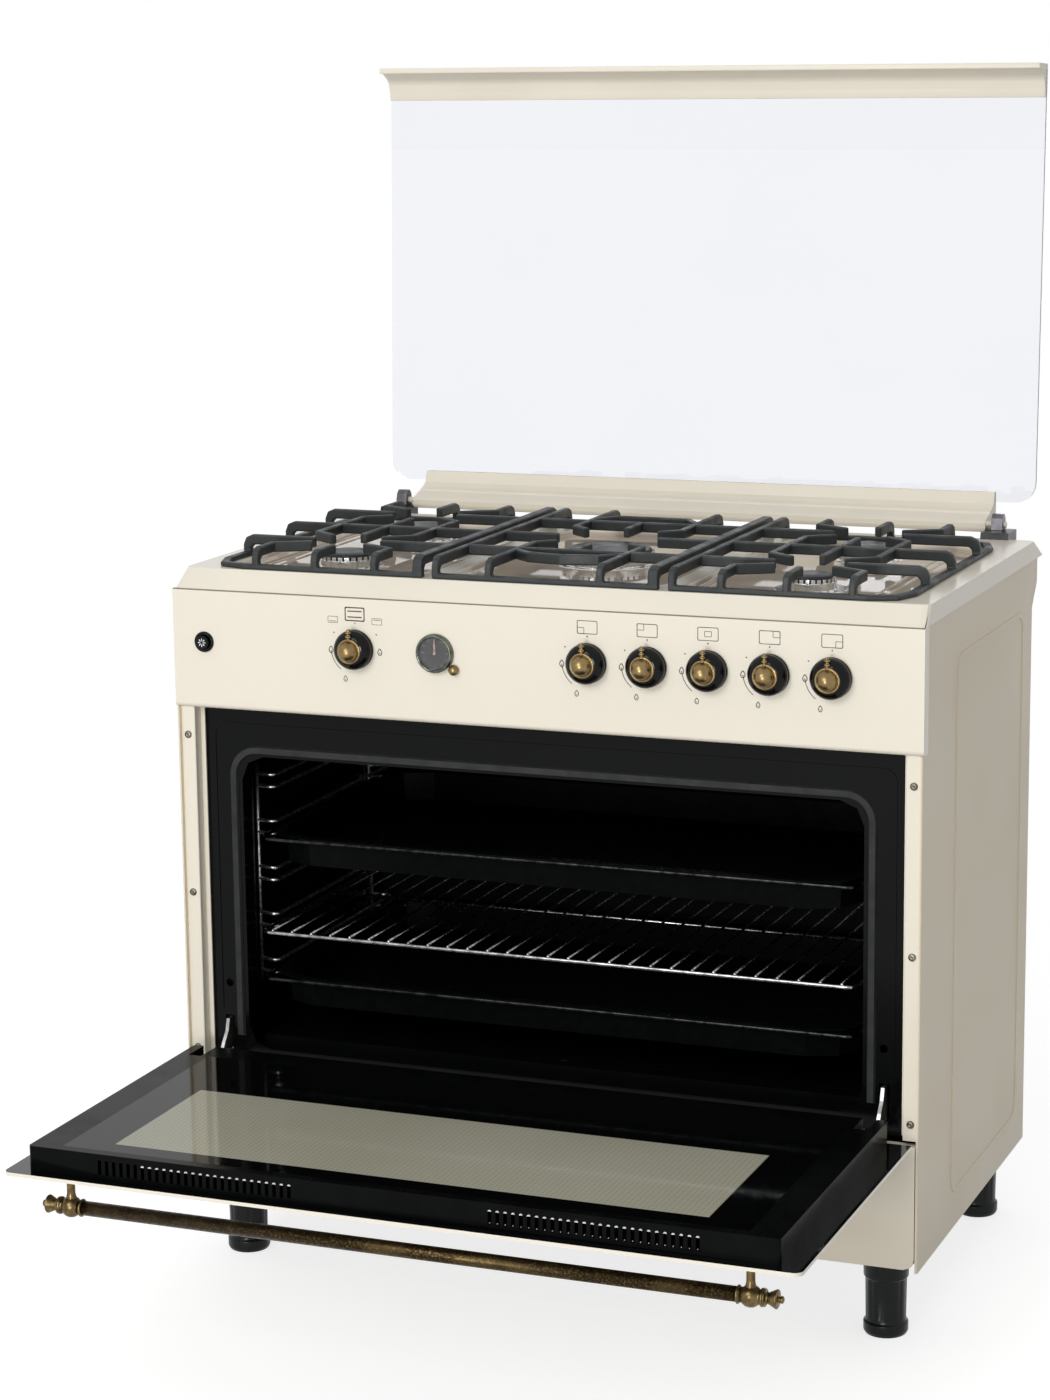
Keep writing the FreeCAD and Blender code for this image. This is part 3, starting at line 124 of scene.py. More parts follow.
# ---------------------------------------------------------------- finishes
class Paint:
    """A finish being mixed: its steps take plain values or sockets, and give sockets."""

    def __init__(self, name):
        self.material = bpy.data.materials.new(name)
        self.material.use_nodes = True
        self.tree = self.material.node_tree
        self.tree.nodes.clear()
        self.shader = self.add("ShaderNodeBsdfPrincipled")
        self.feed(self.add("ShaderNodeOutputMaterial").inputs["Surface"], self.shader.outputs["BSDF"])
        self.place = self.add("ShaderNodeTexCoord")

    def add(self, kind, **settings):
        node = self.tree.nodes.new(kind)
        for key, value in settings.items():
            setattr(node, key, value)
        return node

    def feed(self, entry, value):
        """Links a socket into an entry, or sets the entry to a number or a colour."""
        if isinstance(value, bpy.types.NodeSocket):
            self.tree.links.new(value, entry)
        elif hasattr(value, "__len__"):
            entry.default_value = (*value[:3], 1)
        else:
            entry.default_value = value

    def noise(self, scale, detail=3.0, rough=0.5, stretch=None):
        node = self.add("ShaderNodeTexNoise")
        for key, value in (("Scale", scale), ("Detail", detail), ("Roughness", rough)):
            self.feed(node.inputs[key], value)
        self.feed(node.inputs["Vector"], self.stretched(stretch) if stretch else self.place.outputs["Object"])
        return node.outputs["Fac"]

    def stretched(self, scale):
        """The piece's own coordinates in metres, scaled along each axis."""
        turn = self.add("ShaderNodeMapping")
        turn.inputs["Scale"].default_value = scale
        self.feed(turn.inputs["Vector"], self.place.outputs["Object"])
        return turn.outputs["Vector"]

    def axis(self, letter, kind="Object"):
        """One coordinate of the piece's own, or of its normal."""
        split = self.add("ShaderNodeSeparateXYZ")
        self.feed(split.inputs[0], self.place.outputs[kind])
        return split.outputs[letter]

    def math(self, operation, one, two=0.0):
        node = self.add("ShaderNodeMath", operation=operation)
        self.feed(node.inputs[0], one)
        self.feed(node.inputs[1], two)
        return node.outputs[0]

    def ramp(self, value, low, high, from_low=0.35, from_high=0.65):
        """A value's range turned into another range."""
        node = self.add("ShaderNodeMapRange")
        for key, entry in (("Value", value), ("From Min", from_low), ("From Max", from_high),
                           ("To Min", low), ("To Max", high)):
            self.feed(node.inputs[key], entry)
        return node.outputs["Result"]

    def haze(self, scale, detail, low, high):
        """A value that comes and goes in clouds."""
        return self.ramp(self.noise(scale, detail), low, high)

    def blend(self, factor, one, two):
        """Two colours mixed by a factor."""
        node = self.add("ShaderNodeMix", data_type="RGBA")
        for entry, value in ((0, factor), (6, one), (7, two)):
            self.feed(node.inputs[entry], value)
        return node.outputs[2]

    def bump(self, height, strength, depth):
        node = self.add("ShaderNodeBump")
        for key, value in (("Height", height), ("Strength", strength), ("Distance", depth)):
            self.feed(node.inputs[key], value)
        self.feed(self.shader.inputs["Normal"], node.outputs["Normal"])

    def coat(self, colour, rough, **others):
        """Fills the shader's entries: colour, roughness and any others by name."""
        self.feed(self.shader.inputs["Base Color"], colour)
        self.feed(self.shader.inputs["Roughness"], rough)
        for key, value in others.items():
            self.feed(self.shader.inputs[key.replace("_", " ")], value)


def shifted(colour, by):
    return tuple(max(0.0, min(1.0, c * by)) for c in colour)


def finishes():
    return bpy.context.scene.cooker_finishes


def once(recipe):
    """A finish is mixed the first time that it is asked for, and found by its name after that."""
    def finish(name=recipe.__name__ + "_finish", *settings):
        found = bpy.data.materials.get(name)
        if found:
            return found
        p = Paint(name)
        recipe(p, *settings)
        return p.material
    return finish


@once
def cream_enamel(p, tone=None, rough=(0.16, 0.22), spec=0.3):
    """Vitreous cream: a faint drift of tone, fine flecks, and a deeper cream close to the floor."""
    f = finishes()
    cream = tone or f.cream
    clouds = p.blend(p.haze(2.2, 1.0, 0.0, 1.0), shifted(cream, 0.985), cream)
    flecked = p.blend(p.ramp(p.noise(900.0, 1.0), 0.0, 0.25, 0.64, 0.78), clouds, shifted(f.cream, 0.94))
    low = p.ramp(p.axis("Z"), 0.6, 0.0, 0.09, 0.2)
    p.coat(p.blend(low, flecked, f.cream_low), p.haze(7.0, 2.0, *rough), Specular_IOR_Level=spec)
    p.bump(p.noise(420.0, 2.0), 0.02, 0.0001)


@once
def hob_enamel(p):
    """The hob's mirror-bright enamel: cream on the deck, and down in the wells a deeper beige that is painted
    shade from the pan supports above.
    """
    f = finishes()
    drift = p.haze(6.0, 2.0, 0.0, 1.0)
    deck = p.blend(drift, shifted(f.cream, 0.96), f.cream)
    # painted shade: the wells' deeper beige stands in for the shade that the pan supports cast into them
    well = p.blend(drift, linear(196, 180, 162), linear(210, 196, 178))
    wide = p.math("ABSOLUTE", p.axis("X"))
    inside = p.ramp(p.axis("Z"), 1.0, 0.0, 0.8345, 0.8375)
    for limit in (p.ramp(p.axis("Z"), 0.0, 1.0, 0.8295, 0.8315), p.ramp(wide, 1.0, 0.0, 0.419, 0.421),
                  p.ramp(p.axis("Y"), 0.0, 1.0, -0.058, -0.056), p.ramp(p.axis("Y"), 1.0, 0.0, 0.376, 0.378)):
        inside = p.math("MULTIPLY", inside, limit)
    fleck = p.ramp(p.noise(900.0, 1.0), 0.0, 0.2, 0.64, 0.78)
    rough = p.math("ADD", p.ramp(inside, 0.17, 0.03, 0.0, 1.0), p.haze(9.0, 3.0, 0.0, 0.04))
    p.coat(p.blend(fleck, p.blend(inside, deck, well), shifted(f.cream, 0.8)), rough,
           Specular_IOR_Level=p.ramp(inside, 0.25, 0.5, 0.0, 1.0))
    p.bump(p.noise(40.0, 1.0), 0.02, 0.0002)


@once
def lid_cream(p):
    """The lid rails' moulded cream, a shade deeper than the enamel."""
    f = finishes()
    tone = p.blend(p.haze(5.0, 2.0, 0.0, 1.0), f.cream, shifted(f.cream, 1.05))
    p.coat(tone, p.haze(20.0, 3.0, 0.32, 0.42), Specular_IOR_Level=0.4)
    p.bump(p.noise(300.0, 1.0), 0.03, 0.0002)


@once
def oven_enamel(p):
    """Black glossy enamel with tiny pale flecks, a faint ripple, and a gleam on the rear wall's ribs."""
    fleck = p.ramp(p.noise(1400.0, 1.0), 0.0, 0.6, 0.72, 0.8)
    tone = p.blend(fleck, finishes().oven_black, linear(40, 42, 44))
    rib = p.math("MULTIPLY", p.ramp(p.axis("Y"), 0.0, 1.0, 0.351, 0.3535),
                 p.ramp(p.axis("Y"), 1.0, 0.0, 0.3575, 0.3585))
    p.coat(tone, p.haze(9.0, 3.0, 0.1, 0.2), Specular_IOR_Level=p.ramp(rib, 0.1, 0.9, 0.0, 1.0))
    p.bump(p.noise(60.0, 2.0), 0.06, 0.0006)


@once
def door_black(p):
    """Satin black of the door's inner side and edge."""
    black = finishes().oven_black
    tone = p.blend(p.haze(25.0, 4.0, 0.0, 1.0), shifted(black, 0.8), shifted(black, 1.3))
    p.coat(tone, p.haze(20.0, 3.0, 0.18, 0.3), Specular_IOR_Level=0.05)
    p.bump(p.noise(500.0, 1.0), 0.04, 0.0002)


@once
def cast_iron(p):
    """Matt enamelled casting: fine sand grain, greyer on rubbed edges."""
    cast = finishes().cast
    sand = p.noise(260.0, 5.0, 0.65)
    mottled = p.blend(p.ramp(sand, 0.0, 1.0), shifted(cast, 0.75), shifted(cast, 1.2))
    worn = p.ramp(p.add("ShaderNodeNewGeometry").outputs["Pointiness"], 0.0, 0.6, 0.52, 0.62)
    p.coat(p.blend(worn, mottled, shifted(cast, 2.2)), p.haze(40.0, 3.0, 0.42, 0.62),
           Specular_IOR_Level=0.45)
    p.bump(sand, 0.35, 0.0005)


@once
def antique_brass(p):
    """The handle's brass under a dark brown patina that is rubbed through in fine specks."""
    f = finishes()
    speck = p.ramp(p.noise(420.0, 5.0, 0.7), 0.0, 0.75, 0.5, 0.68)
    mottled = p.blend(speck, shifted(f.brass_dark, 0.55), shifted(f.brass_light, 0.5))
    patch = p.ramp(p.noise(26.0, 3.0), 0.0, 0.35, 0.45, 0.7)
    p.coat(p.blend(patch, mottled, shifted(f.brass_light, 0.42)), p.haze(200.0, 4.0, 0.3, 0.48), Metallic=1.0)
    p.bump(p.noise(900.0, 2.0), 0.1, 0.0002)


@once
def bright_brass(p, low=0.42, high=0.78):
    """The lighter, olive-toned brass of the knobs' domes and, darker, the finials."""
    light = finishes().brass_light
    patch = p.ramp(p.noise(160.0, 3.0), 0.0, 1.0, 0.3, 0.7)
    mottled = p.blend(patch, shifted(light, low), shifted(light, high))
    rubbed = p.ramp(p.add("ShaderNodeNewGeometry").outputs["Pointiness"], 0.0, 0.6, 0.52, 0.6)
    p.coat(p.blend(rubbed, mottled, shifted(light, high * 1.25)), p.haze(90.0, 4.0, 0.28, 0.36), Metallic=1.0)
    p.bump(p.noise(900.0, 2.0), 0.03, 0.0001)


@once
def hand_metal(p):
    """Pinkish brass of the clock's hands."""
    tone = p.blend(p.haze(1500.0, 2.0, 0.0, 1.0), linear(196, 160, 142), linear(226, 192, 172))
    p.coat(tone, p.haze(600.0, 2.0, 0.35, 0.5), Metallic=0.3)


@once
def bright_wire(p, low=(120, 122, 124), high=(182, 184, 186), rough=(0.14, 0.28)):
    """Chromed wire with slight haze."""
    tone = p.blend(p.haze(120.0, 3.0, 0.0, 1.0), linear(*low), linear(*high))
    p.coat(tone, p.haze(300.0, 2.0, *rough), Metallic=1.0)


@once
def plated_steel(p, low=(150, 150, 148), high=(196, 196, 192)):
    """Zinc-plated steel: soft spangle and drawn marks."""
    tone = p.blend(p.haze(60.0, 4.0, 0.0, 1.0), linear(*low), linear(*high))
    drawn = p.noise(900.0, 2.0, stretch=(1.0, 0.05, 1.0))
    p.coat(tone, p.ramp(drawn, 0.28, 0.45), Metallic=1.0)
    p.bump(drawn, 0.08, 0.0002)


@once
def zinc_sheet(p):
    """Galvanised sheet: a fine, quiet grain that is dull rather than bright."""
    grain = p.haze(420.0, 3.0, 0.0, 1.0)
    p.coat(p.blend(grain, linear(150, 151, 150), linear(164, 165, 163)), p.ramp(grain, 0.46, 0.54),
           Metallic=0.7)


@once
def cast_aluminium(p):
    """Machined aluminium of the flame rings."""
    grain = p.noise(500.0, 4.0)
    tone = p.blend(p.ramp(grain, 0.0, 1.0), linear(214, 214, 212), linear(240, 239, 236))
    p.coat(tone, p.haze(60.0, 3.0, 0.16, 0.24), Metallic=1.0)
    p.bump(grain, 0.02, 0.0001)


@once
def gloss_black(p, tone=(12, 12, 13), rough=(0.1, 0.18), spec=0.5):
    """Moulded black plastic or glazed caps."""
    mixed = p.blend(p.haze(90.0, 3.0, 0.0, 1.0), linear(*tone), shifted(linear(*tone), 1.4))
    p.coat(mixed, p.haze(50.0, 4.0, *rough), Specular_IOR_Level=spec)
    p.bump(p.noise(800.0, 1.0), 0.02, 0.0002)


def tray_enamel():
    return gloss_black("tray_enamel_finish", (7, 8, 8), (0.2, 0.3), 0.03)


def rubber():
    return gloss_black("seal_rubber_finish", (30, 31, 31), (0.55, 0.75), 0.3)


def leg_plastic():
    return gloss_black("leg_plastic_finish", (8, 11, 11), (0.22, 0.32), 0.2)


def dial_paint():
    return gloss_black("dial_paint_finish", (24, 27, 27), (0.3, 0.45), 0.3)


def knob_gloss():
    return gloss_black("knob_gloss_finish", (8, 9, 10), (0.07, 0.13), 0.17)


@once
def clear_glass(p, low=(0.872, 0.880, 0.915), high=(0.884, 0.892, 0.925)):
    """The lid's plate glass with a faint cool tint and smears."""
    smear = p.noise(4.0, 3.0)
    p.coat(p.blend(p.ramp(smear, 0.0, 1.0), low, high), p.ramp(smear, 0.0, 0.03),
           Transmission_Weight=1.0, IOR=1.45)


def window_area(p):
    """A mask that is 1 inside the door's window, and a mask of its fine printed dots."""
    soft = 0.0008
    reach = (WINDOW_FAR - WINDOW_NEAR) / 2
    across = p.math("ABSOLUTE", p.axis("X"))
    along = p.math("ABSOLUTE", p.math("SUBTRACT", p.axis("Y"), (WINDOW_NEAR + WINDOW_FAR) / 2))
    clear = p.math("MULTIPLY", p.ramp(across, 1.0, 0.0, WINDOW_HALF, WINDOW_HALF + soft),
                   p.ramp(along, 1.0, 0.0, reach, reach + soft))
    grid = p.add("ShaderNodeTexVoronoi", feature="F1")
    p.feed(grid.inputs["Randomness"], 0.0)
    p.feed(grid.inputs["Scale"], 170.0)
    p.feed(grid.inputs["Vector"], p.stretched((1.0, 1.0, 0.0)))
    return clear, p.ramp(grid.outputs["Distance"], 0.55, 0.0, 0.14, 0.2)


@once
def window_glass(p):
    """The door's inner pane, opaque: a black printed border round the window, with fine printed dots on a
    khaki that is the white floor's light through smoked glass, painted on.
    """
    clear, dots = window_area(p)
    # painted light: this khaki stands in for the white floor seen through the smoked panes, as the pane lets
    # no light through
    painted_floor_light = p.blend(p.haze(3.0, 2.0, 0.0, 1.0), linear(158, 156, 138), linear(168, 166, 149))
    tone = p.blend(clear, shifted(finishes().oven_black, 0.8), p.blend(dots, painted_floor_light, linear(96, 94, 80)))
    p.coat(tone, p.haze(30.0, 3.0, 0.04, 0.09), Specular_IOR_Level=0.12)


@once
def panel_glass(p):
    """The door's outer pane, opaque: cream paint with a dotted window outside, the window painted darker as
    the dark oven seen through it, and black print inside.
    """
    f = finishes()
    clear, dots = window_area(p)
    paint = p.blend(p.haze(4.0, 2.0, 0.0, 1.0), shifted(f.cream, 0.98), f.cream)
    # painted shade: the window's darker khaki stands in for the dark oven seen through the glass; the dots
    # are print
    outside = p.blend(clear, paint, p.blend(dots, linear(96, 92, 80), linear(150, 145, 129)))
    inner = p.ramp(p.axis("Z", "Normal"), 0.0, 1.0, 0.5, 0.6)
    p.coat(p.blend(inner, outside, f.oven_black), p.haze(40.0, 3.0, 0.04, 0.1), IOR=1.45)


@once
def ink(p, colour):
    """Flat printed ink with a slight unevenness."""
    tone = p.blend(p.haze(600.0, 3.0, 0.0, 1.0), shifted(colour, 0.9), shifted(colour, 1.15))
    p.coat(tone, p.haze(300.0, 2.0, 0.4, 0.55))


def dress(nodes, material):
    """Gives CAD nodes a finish."""
    for name in nodes:
        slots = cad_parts[name].data.materials
        slots.clear()
        slots.append(material)


# ---------------------------------------------------------------- mesh helpers
def shown(name, data):
    """A new object in the scene."""
    thing = bpy.data.objects.new(name, data)
    bpy.context.scene.collection.objects.link(thing)
    return thing


def put(name, mesh, material, body, stands_for=(), smooth=True):
    """Puts a mesh in the scene, riding on a CAD body and standing for CAD nodes."""
    thing = shown(name, mesh)
    mesh.materials.clear()
    mesh.materials.append(material)
    if smooth:
        for face in mesh.polygons:
            face.use_smooth = True
    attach(thing, body)
    if stands_for:
        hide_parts(*stands_for)


def piece(name, parts, material, body, stands_for=(), smooth=True):
    """A piece made of (points, faces) lists, put in the scene."""
    points = []
    faces = []
    for some, these in parts:
        base = len(points)
        points += [tuple(p) for p in some]
        faces += [tuple(base + i for i in face) for face in these]
    mesh = bpy.data.meshes.new(name)
    mesh.from_pydata(points, [], faces)
    mesh.validate()
    work = bmesh.new()
    work.from_mesh(mesh)
    bmesh.ops.recalc_face_normals(work, faces=work.faces)
    work.to_mesh(mesh)
    work.free()
    put(name, mesh, material, body, stands_for, smooth)


def eased(node, name, radius, material, body, steps=2, least=25.0, shortest=0.0):
    """A copy of a CAD node with its sharp edges rounded, standing for the node."""
    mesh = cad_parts[node].data.copy()
    mesh.name = name
    work = bmesh.new()
    work.from_mesh(mesh)
    bmesh.ops.remove_doubles(work, verts=work.verts, dist=1e-6)
    bmesh.ops.dissolve_limit(work, angle_limit=math.radians(0.6), verts=work.verts, edges=work.edges)
    edges = [e for e in work.edges if len(e.link_faces) == 2
             and e.calc_face_angle(0.0) > math.radians(least) and e.calc_length() > shortest]
    bmesh.ops.bevel(work, geom=edges, offset=radius, offset_type="OFFSET", segments=steps, profile=0.5,
                    affect="EDGES", clamp_overlap=True)
    bmesh.ops.dissolve_degenerate(work, dist=1e-5, edges=work.edges)
    work.to_mesh(mesh)
    work.free()
    put(name, mesh, material, body, [node], smooth=False)


def angles(start, end, steps):
    """Even steps from one angle to another: degrees in, radians out."""
    return [math.radians(start + (end - start) * k / steps) for k in range(steps + 1)]


def circle(count):
    """Angles in radians, evenly round a full turn."""
    return [math.tau * k / count for k in range(count)]


def lathe(profile, spot, axis, steps=48):
    """A turned form: (along, radius) pairs go round an axis through a spot."""
    axis = Vector(axis).normalized()
    side = axis.orthogonal().normalized()
    other = axis.cross(side)
    points = []
    faces = []
    rings = []
    for along, radius in profile:
        centre = Vector(spot) + axis * along
        start = len(points)
        if radius < 1e-6:
            points.append(centre)
        else:
            points += [centre + (side * math.cos(t) + other * math.sin(t)) * radius for t in circle(steps)]
        rings.append(range(start, len(points)))
    for one, two in zip(rings, rings[1:]):
        for k in range(steps):
            corners = dict.fromkeys((one[k % len(one)], one[(k + 1) % len(one)],
                                     two[(k + 1) % len(two)], two[k % len(two)]))
            if len(corners) > 2:
                faces.append(tuple(corners))
    return points, faces


def bend(before, here, after, radius, steps):
    """A corner turned into an arc, as points."""
    b, h, a = Vector(before), Vector(here), Vector(after)
    reach = min(radius, (b - h).length * 0.45, (a - h).length * 0.45)
    if reach < 1e-5:
        return [h]
    start = h + (b - h).normalized() * reach
    end = h + (a - h).normalized() * reach
    return [start * (1 - t) ** 2 + h * 2 * t * (1 - t) + end * t * t
            for t in (k / steps for k in range(steps + 1))]


def rounded(profile, radius=0.0008, steps=3):
    """A profile with its inner corners rounded."""
    result = [profile[0]]
    for before, here, after in zip(profile, profile[1:], profile[2:]):
        result += [tuple(q) for q in bend(before, here, after, radius, steps)]
    return result + [profile[-1]]


def softened(points, radius, steps=5, closed=False):
    """Points of a bent line, its corners turned into arcs."""
    count = len(points)
    result = [] if closed else [Vector(points[0])]
    for i in range(count) if closed else range(1, count - 1):
        result += bend(points[i - 1], points[i], points[(i + 1) % count], radius, steps)
    return result if closed else result + [Vector(points[-1])]


def tube(points, radius, sides=10, closed=False):
    """A round wire along points, with its ends closed."""
    pts = [Vector(p) for p in points]
    count = len(pts)
    verts = []
    faces = []
    out = None
    for i, p in enumerate(pts):
        ahead = pts[(i + 1) % count] - p if closed or i + 1 < count else p - pts[i - 1]
        behind = p - pts[i - 1] if closed or i else ahead
        along = (behind.normalized() + ahead.normalized()).normalized()
        out = (out - along * out.dot(along) if i else along.orthogonal()).normalized()
        side = along.cross(out)
        verts += [p + (out * math.cos(t) + side * math.sin(t)) * radius for t in circle(sides)]
    for i in range(count if closed else count - 1):
        j = (i + 1) % count
        for k in range(sides):
            m = (k + 1) % sides
            faces.append((i * sides + k, i * sides + m, j * sides + m, j * sides + k))
    if not closed:
        faces.append(tuple(range(sides)))
        faces.append(tuple(range((count - 1) * sides, count * sides)))
    return verts, faces


def slab(outline, back, thick):
    """A flat form on the panel's plane from (across, up) points, standing off it towards the front."""
    count = len(outline)
    points = [(x, back, z) for x, z in outline] + [(x, back - thick, z) for x, z in outline]
    faces = [tuple(range(count)), tuple(range(count, 2 * count))]
    for k in range(count):
        m = (k + 1) % count
        faces.append((k, m, count + m, count + k))
    return points, faces


def stroke(line, wide, back, thick, closed=False):
    """A printed line of even width through (across, up) points."""
    parts = []
    pts = [Vector(p) for p in line]
    if closed:
        pts.append(pts[0])
    for a, b in zip(pts, pts[1:]):
        grow = (b - a).normalized() * wide / 2
        side = Vector((-grow.y, grow.x))
        parts.append(slab([a - grow + side, a - grow - side, b + grow - side, b + grow + side], back, thick))
    return parts


# ---------------------------------------------------------------- cabinet
class COOKER_OT_cabinet(bpy.types.Operator):
    """Finishes the cabinet's sheets, rear, floor and control panel"""
    bl_idname = "cooker.cabinet"
    bl_label = "Cabinet"

    def execute(self, context):
        dress(["front_posts", "control_panel"], cream_enamel())
        # the side sheets get the deeper cream that is painted shade for their dimmer light
        dress(["side_panels"], cream_enamel("side_enamel_finish", finishes().side_shade_cream[:], (0.3, 0.38), 0.1))
        dress(["rear_panel", "cabinet_floor", "gas_manifold"], zinc_sheet())
        eased("hob_top", "hob_pressing", 0.0016, hob_enamel(), "cabinet", 3, 12.0)
        # a thin seal strip along the joint between the hob's front edge and the panel, its dark colour
        # painted as the shade in the gap there
        low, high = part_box("control_panel")
        left, right = low.x + 0.0005, high.x - 0.0005
        bottom, top = high.z - 0.0005, high.z + 0.0004
        seal = slab([(left, bottom), (right, bottom), (right, top), (left, top)], low.y + 0.003, 0.0032)
        piece("hob_seal", [seal], ink("hob_seal_finish", linear(122, 115, 102)), "cabinet",
              smooth=False)
        # lines pressed up from the floor of the wells, their ends sinking a little
        near, far = -0.012, 0.324
        crest, sunk = 0.8318, 0.8316
        ribs = [tube([(x, near, sunk), (x, near + 0.012, crest), (x, far - 0.012, crest), (x, far, sunk)],
                     0.0016, 12) for x in (-0.376, -0.364, -0.172, -0.160, 0.160, 0.172, 0.364, 0.376)]
        piece("hob_ribs", ribs, hob_enamel(), "cabinet")
        eased("lower_flap", "flap_pressing", 0.0008, cream_enamel(), "flap")
        return {"FINISHED"}


class COOKER_OT_legs(bpy.types.Operator):
    """Builds the four levelling legs: ribbed grip, base ring and flange"""
    bl_idname = "cooker.legs"
    bl_label = "Levelling legs"

    def execute(self, context):
        low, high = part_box("levelling_legs")
        inset = 0.032
        grip_low, grip_high = 0.0195, 0.0665
        flutes, depth = 12, 0.035
        profile = rounded([(0, 0), (0, 0.0235), (0.004, 0.0255), (0.014, 0.0255), (0.0155, 0.0235),
                           (0.019, 0.0228), (0.066, 0.0235), (0.068, 0.0255), (0.088, 0.0258),
                           (0.088, 0.031), (0.0918, 0.031), (0.0918, 0)], 0.001)
        parts = []
        for x in (low.x + inset, high.x - inset):
            for y in (low.y + inset, high.y - inset):
                points, faces = lathe(profile, (x, y, 0), UP, 72)
                for p in points:
                    if grip_low < p.z < grip_high:
                        out = Vector((p.x - x, p.y - y, 0))
                        turn = math.atan2(out.y, out.x) * flutes
                        p -= out * depth * max(0.0, math.cos(turn)) ** 2
                parts.append((points, faces))
        piece("levelling_leg_set", parts, leg_plastic(), "cabinet", ["levelling_legs"])
        return {"FINISHED"}


class COOKER_OT_screws(bpy.types.Operator):
    """Builds the domed screws down the front strips and the flap's pins"""
    bl_idname = "cooker.screws"
    bl_label = "Strip screws"

    def execute(self, context):
        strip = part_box("front_posts")[0].y
        head = [(0, 0), (0, 0.0044), (0.0006, 0.0044)]
        head += [(0.0006 + 0.0017 * math.sin(t), 0.0012 + 0.0032 * math.cos(t)) for t in angles(0, 90, 5)[1:]]
        head += [(0.0014, 0.0008), (0.0013, 0)]
        pin = [(0, 0), (0, 0.0025), (0.0096, 0.0025), (0.0096, 0)]
        parts = []
        for sign in (-1, 1):
            parts += [lathe(head, (sign * 0.438, strip, z), FORWARD, 24) for z in (0.262, 0.4525, 0.643)]
            parts.append(lathe(pin, (sign * 0.439, -0.080, 0.103), (sign, 0, 0), 20))
        steel = plated_steel("screw_steel_finish", (96, 92, 84), (140, 136, 126))
        piece("strip_screws", parts, steel, "cabinet", ["front_fixings"])
        return {"FINISHED"}


# ---------------------------------------------------------------- oven
class COOKER_OT_oven(bpy.types.Operator):
    """Finishes the oven's frame, liner, seal and burners"""
    bl_idname = "cooker.oven"
    bl_label = "Oven"

    def execute(self, context):
        dress(["oven_front_frame", "oven_liner", "oven_floor_plate"], oven_enamel())
        dress(["door_seal"], rubber())
        dress(["oven_burners", "door_hinge_arms", "door_hinges"], plated_steel())
        # gleams at the left end of the rear wall's lower rib
        wall, proud = 0.3535, 0.353
        beads = []
        for x in (-0.352, -0.344, -0.336):
            line = [(x, wall, 0.4545), (x, proud, 0.457), (x, proud, 0.473), (x, wall, 0.4755)]
            beads.append(tube(line, 0.0016, 10))
        piece("rib_end_beads", beads, bright_wire(), "cabinet")
        return {"FINISHED"}


class COOKER_OT_wires(bpy.types.Operator):
    """Bends the round wires of the racks, shelf and tray frames"""
    bl_idname = "cooker.wires"
    bl_label = "Oven wires"

    thick = 0.0025

    def rack(self, sign):
        """One wall's ladder: two uprights, and two bowed rails at each level."""
        low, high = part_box("side_racks")
        wall = sign * (high.x - self.thick)
        rail = sign * 0.366
        near, far = low.y + 0.0102, high.y - 0.0102
        parts = [tube([(wall, y, low.z), (wall, y, high.z)], self.thick, 12) for y in (near, far)]
        for level in range(5):
            for rise in (0.012, 0.027):
                z = low.z + rise + 0.057 * level
                line = [(wall, near, z), (rail, near - 0.008, z), (rail, far + 0.008, z), (wall, far, z)]
                parts.append(tube(softened(line, 0.012), 0.0022, 10))
        return parts

    def ring(self, node):
        """The closed frame of thick wire round a tray or the shelf."""
        low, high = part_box(node)
        left, right = low.x + self.thick, high.x - self.thick
        near, far = low.y + self.thick, high.y - self.thick
        z = low.z + self.thick
        line = [(left, near, z), (right, near, z), (right, far, z), (left, far, z)]
        return tube(softened(line, 0.016, 6, True), self.thick, 12, True)

    def shelf(self):
        """The shelf's frame, its thin wires with a ball at each front end, and the bar below them."""
        low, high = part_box("wire_shelf")
        thin, pitch = 0.0015, 0.025
        ball = [(0.0022 * math.sin(t), 0.0022 * math.cos(t)) for t in angles(-90, 90, 10)]
        count = int((high.x - 0.016) / pitch)
        top = high.z - thin
        parts = [self.ring("wire_shelf")]
        for i in range(-count, count + 1):
            x = i * pitch
            parts.append(tube([(x, low.y + 0.001, top), (x, high.y - 0.001, top)], thin, 8))
            parts.append(lathe(ball, (x, low.y + 0.0024, high.z - 0.0022), UP, 12))
        y, z = middle("wire_shelf").y, low.z + self.thick
        parts.append(tube([(low.x + self.thick, y, z), (high.x - self.thick, y, z)], self.thick, 10))
        return parts

    def execute(self, context):
        rack_wire = bright_wire("rack_wire_finish", (150, 152, 154), (205, 206, 208), (0.26, 0.4))
        piece("rack_wires", self.rack(-1) + self.rack(1), rack_wire, "cabinet", ["side_racks"])
        tray_wire = bright_wire("tray_wire_finish", (22, 23, 24), (52, 54, 56))
        for which in ("lower", "upper"):
            node = "tray_frame_" + which
            piece("tray_rim_" + which, [self.ring(node)], tray_wire, which + "_tray", [node])
        piece("shelf_wires", self.shelf(), bright_wire(), "shelf", ["wire_shelf"])
        dress(["tray_pan_lower", "tray_pan_upper"], tray_enamel())
        return {"FINISHED"}


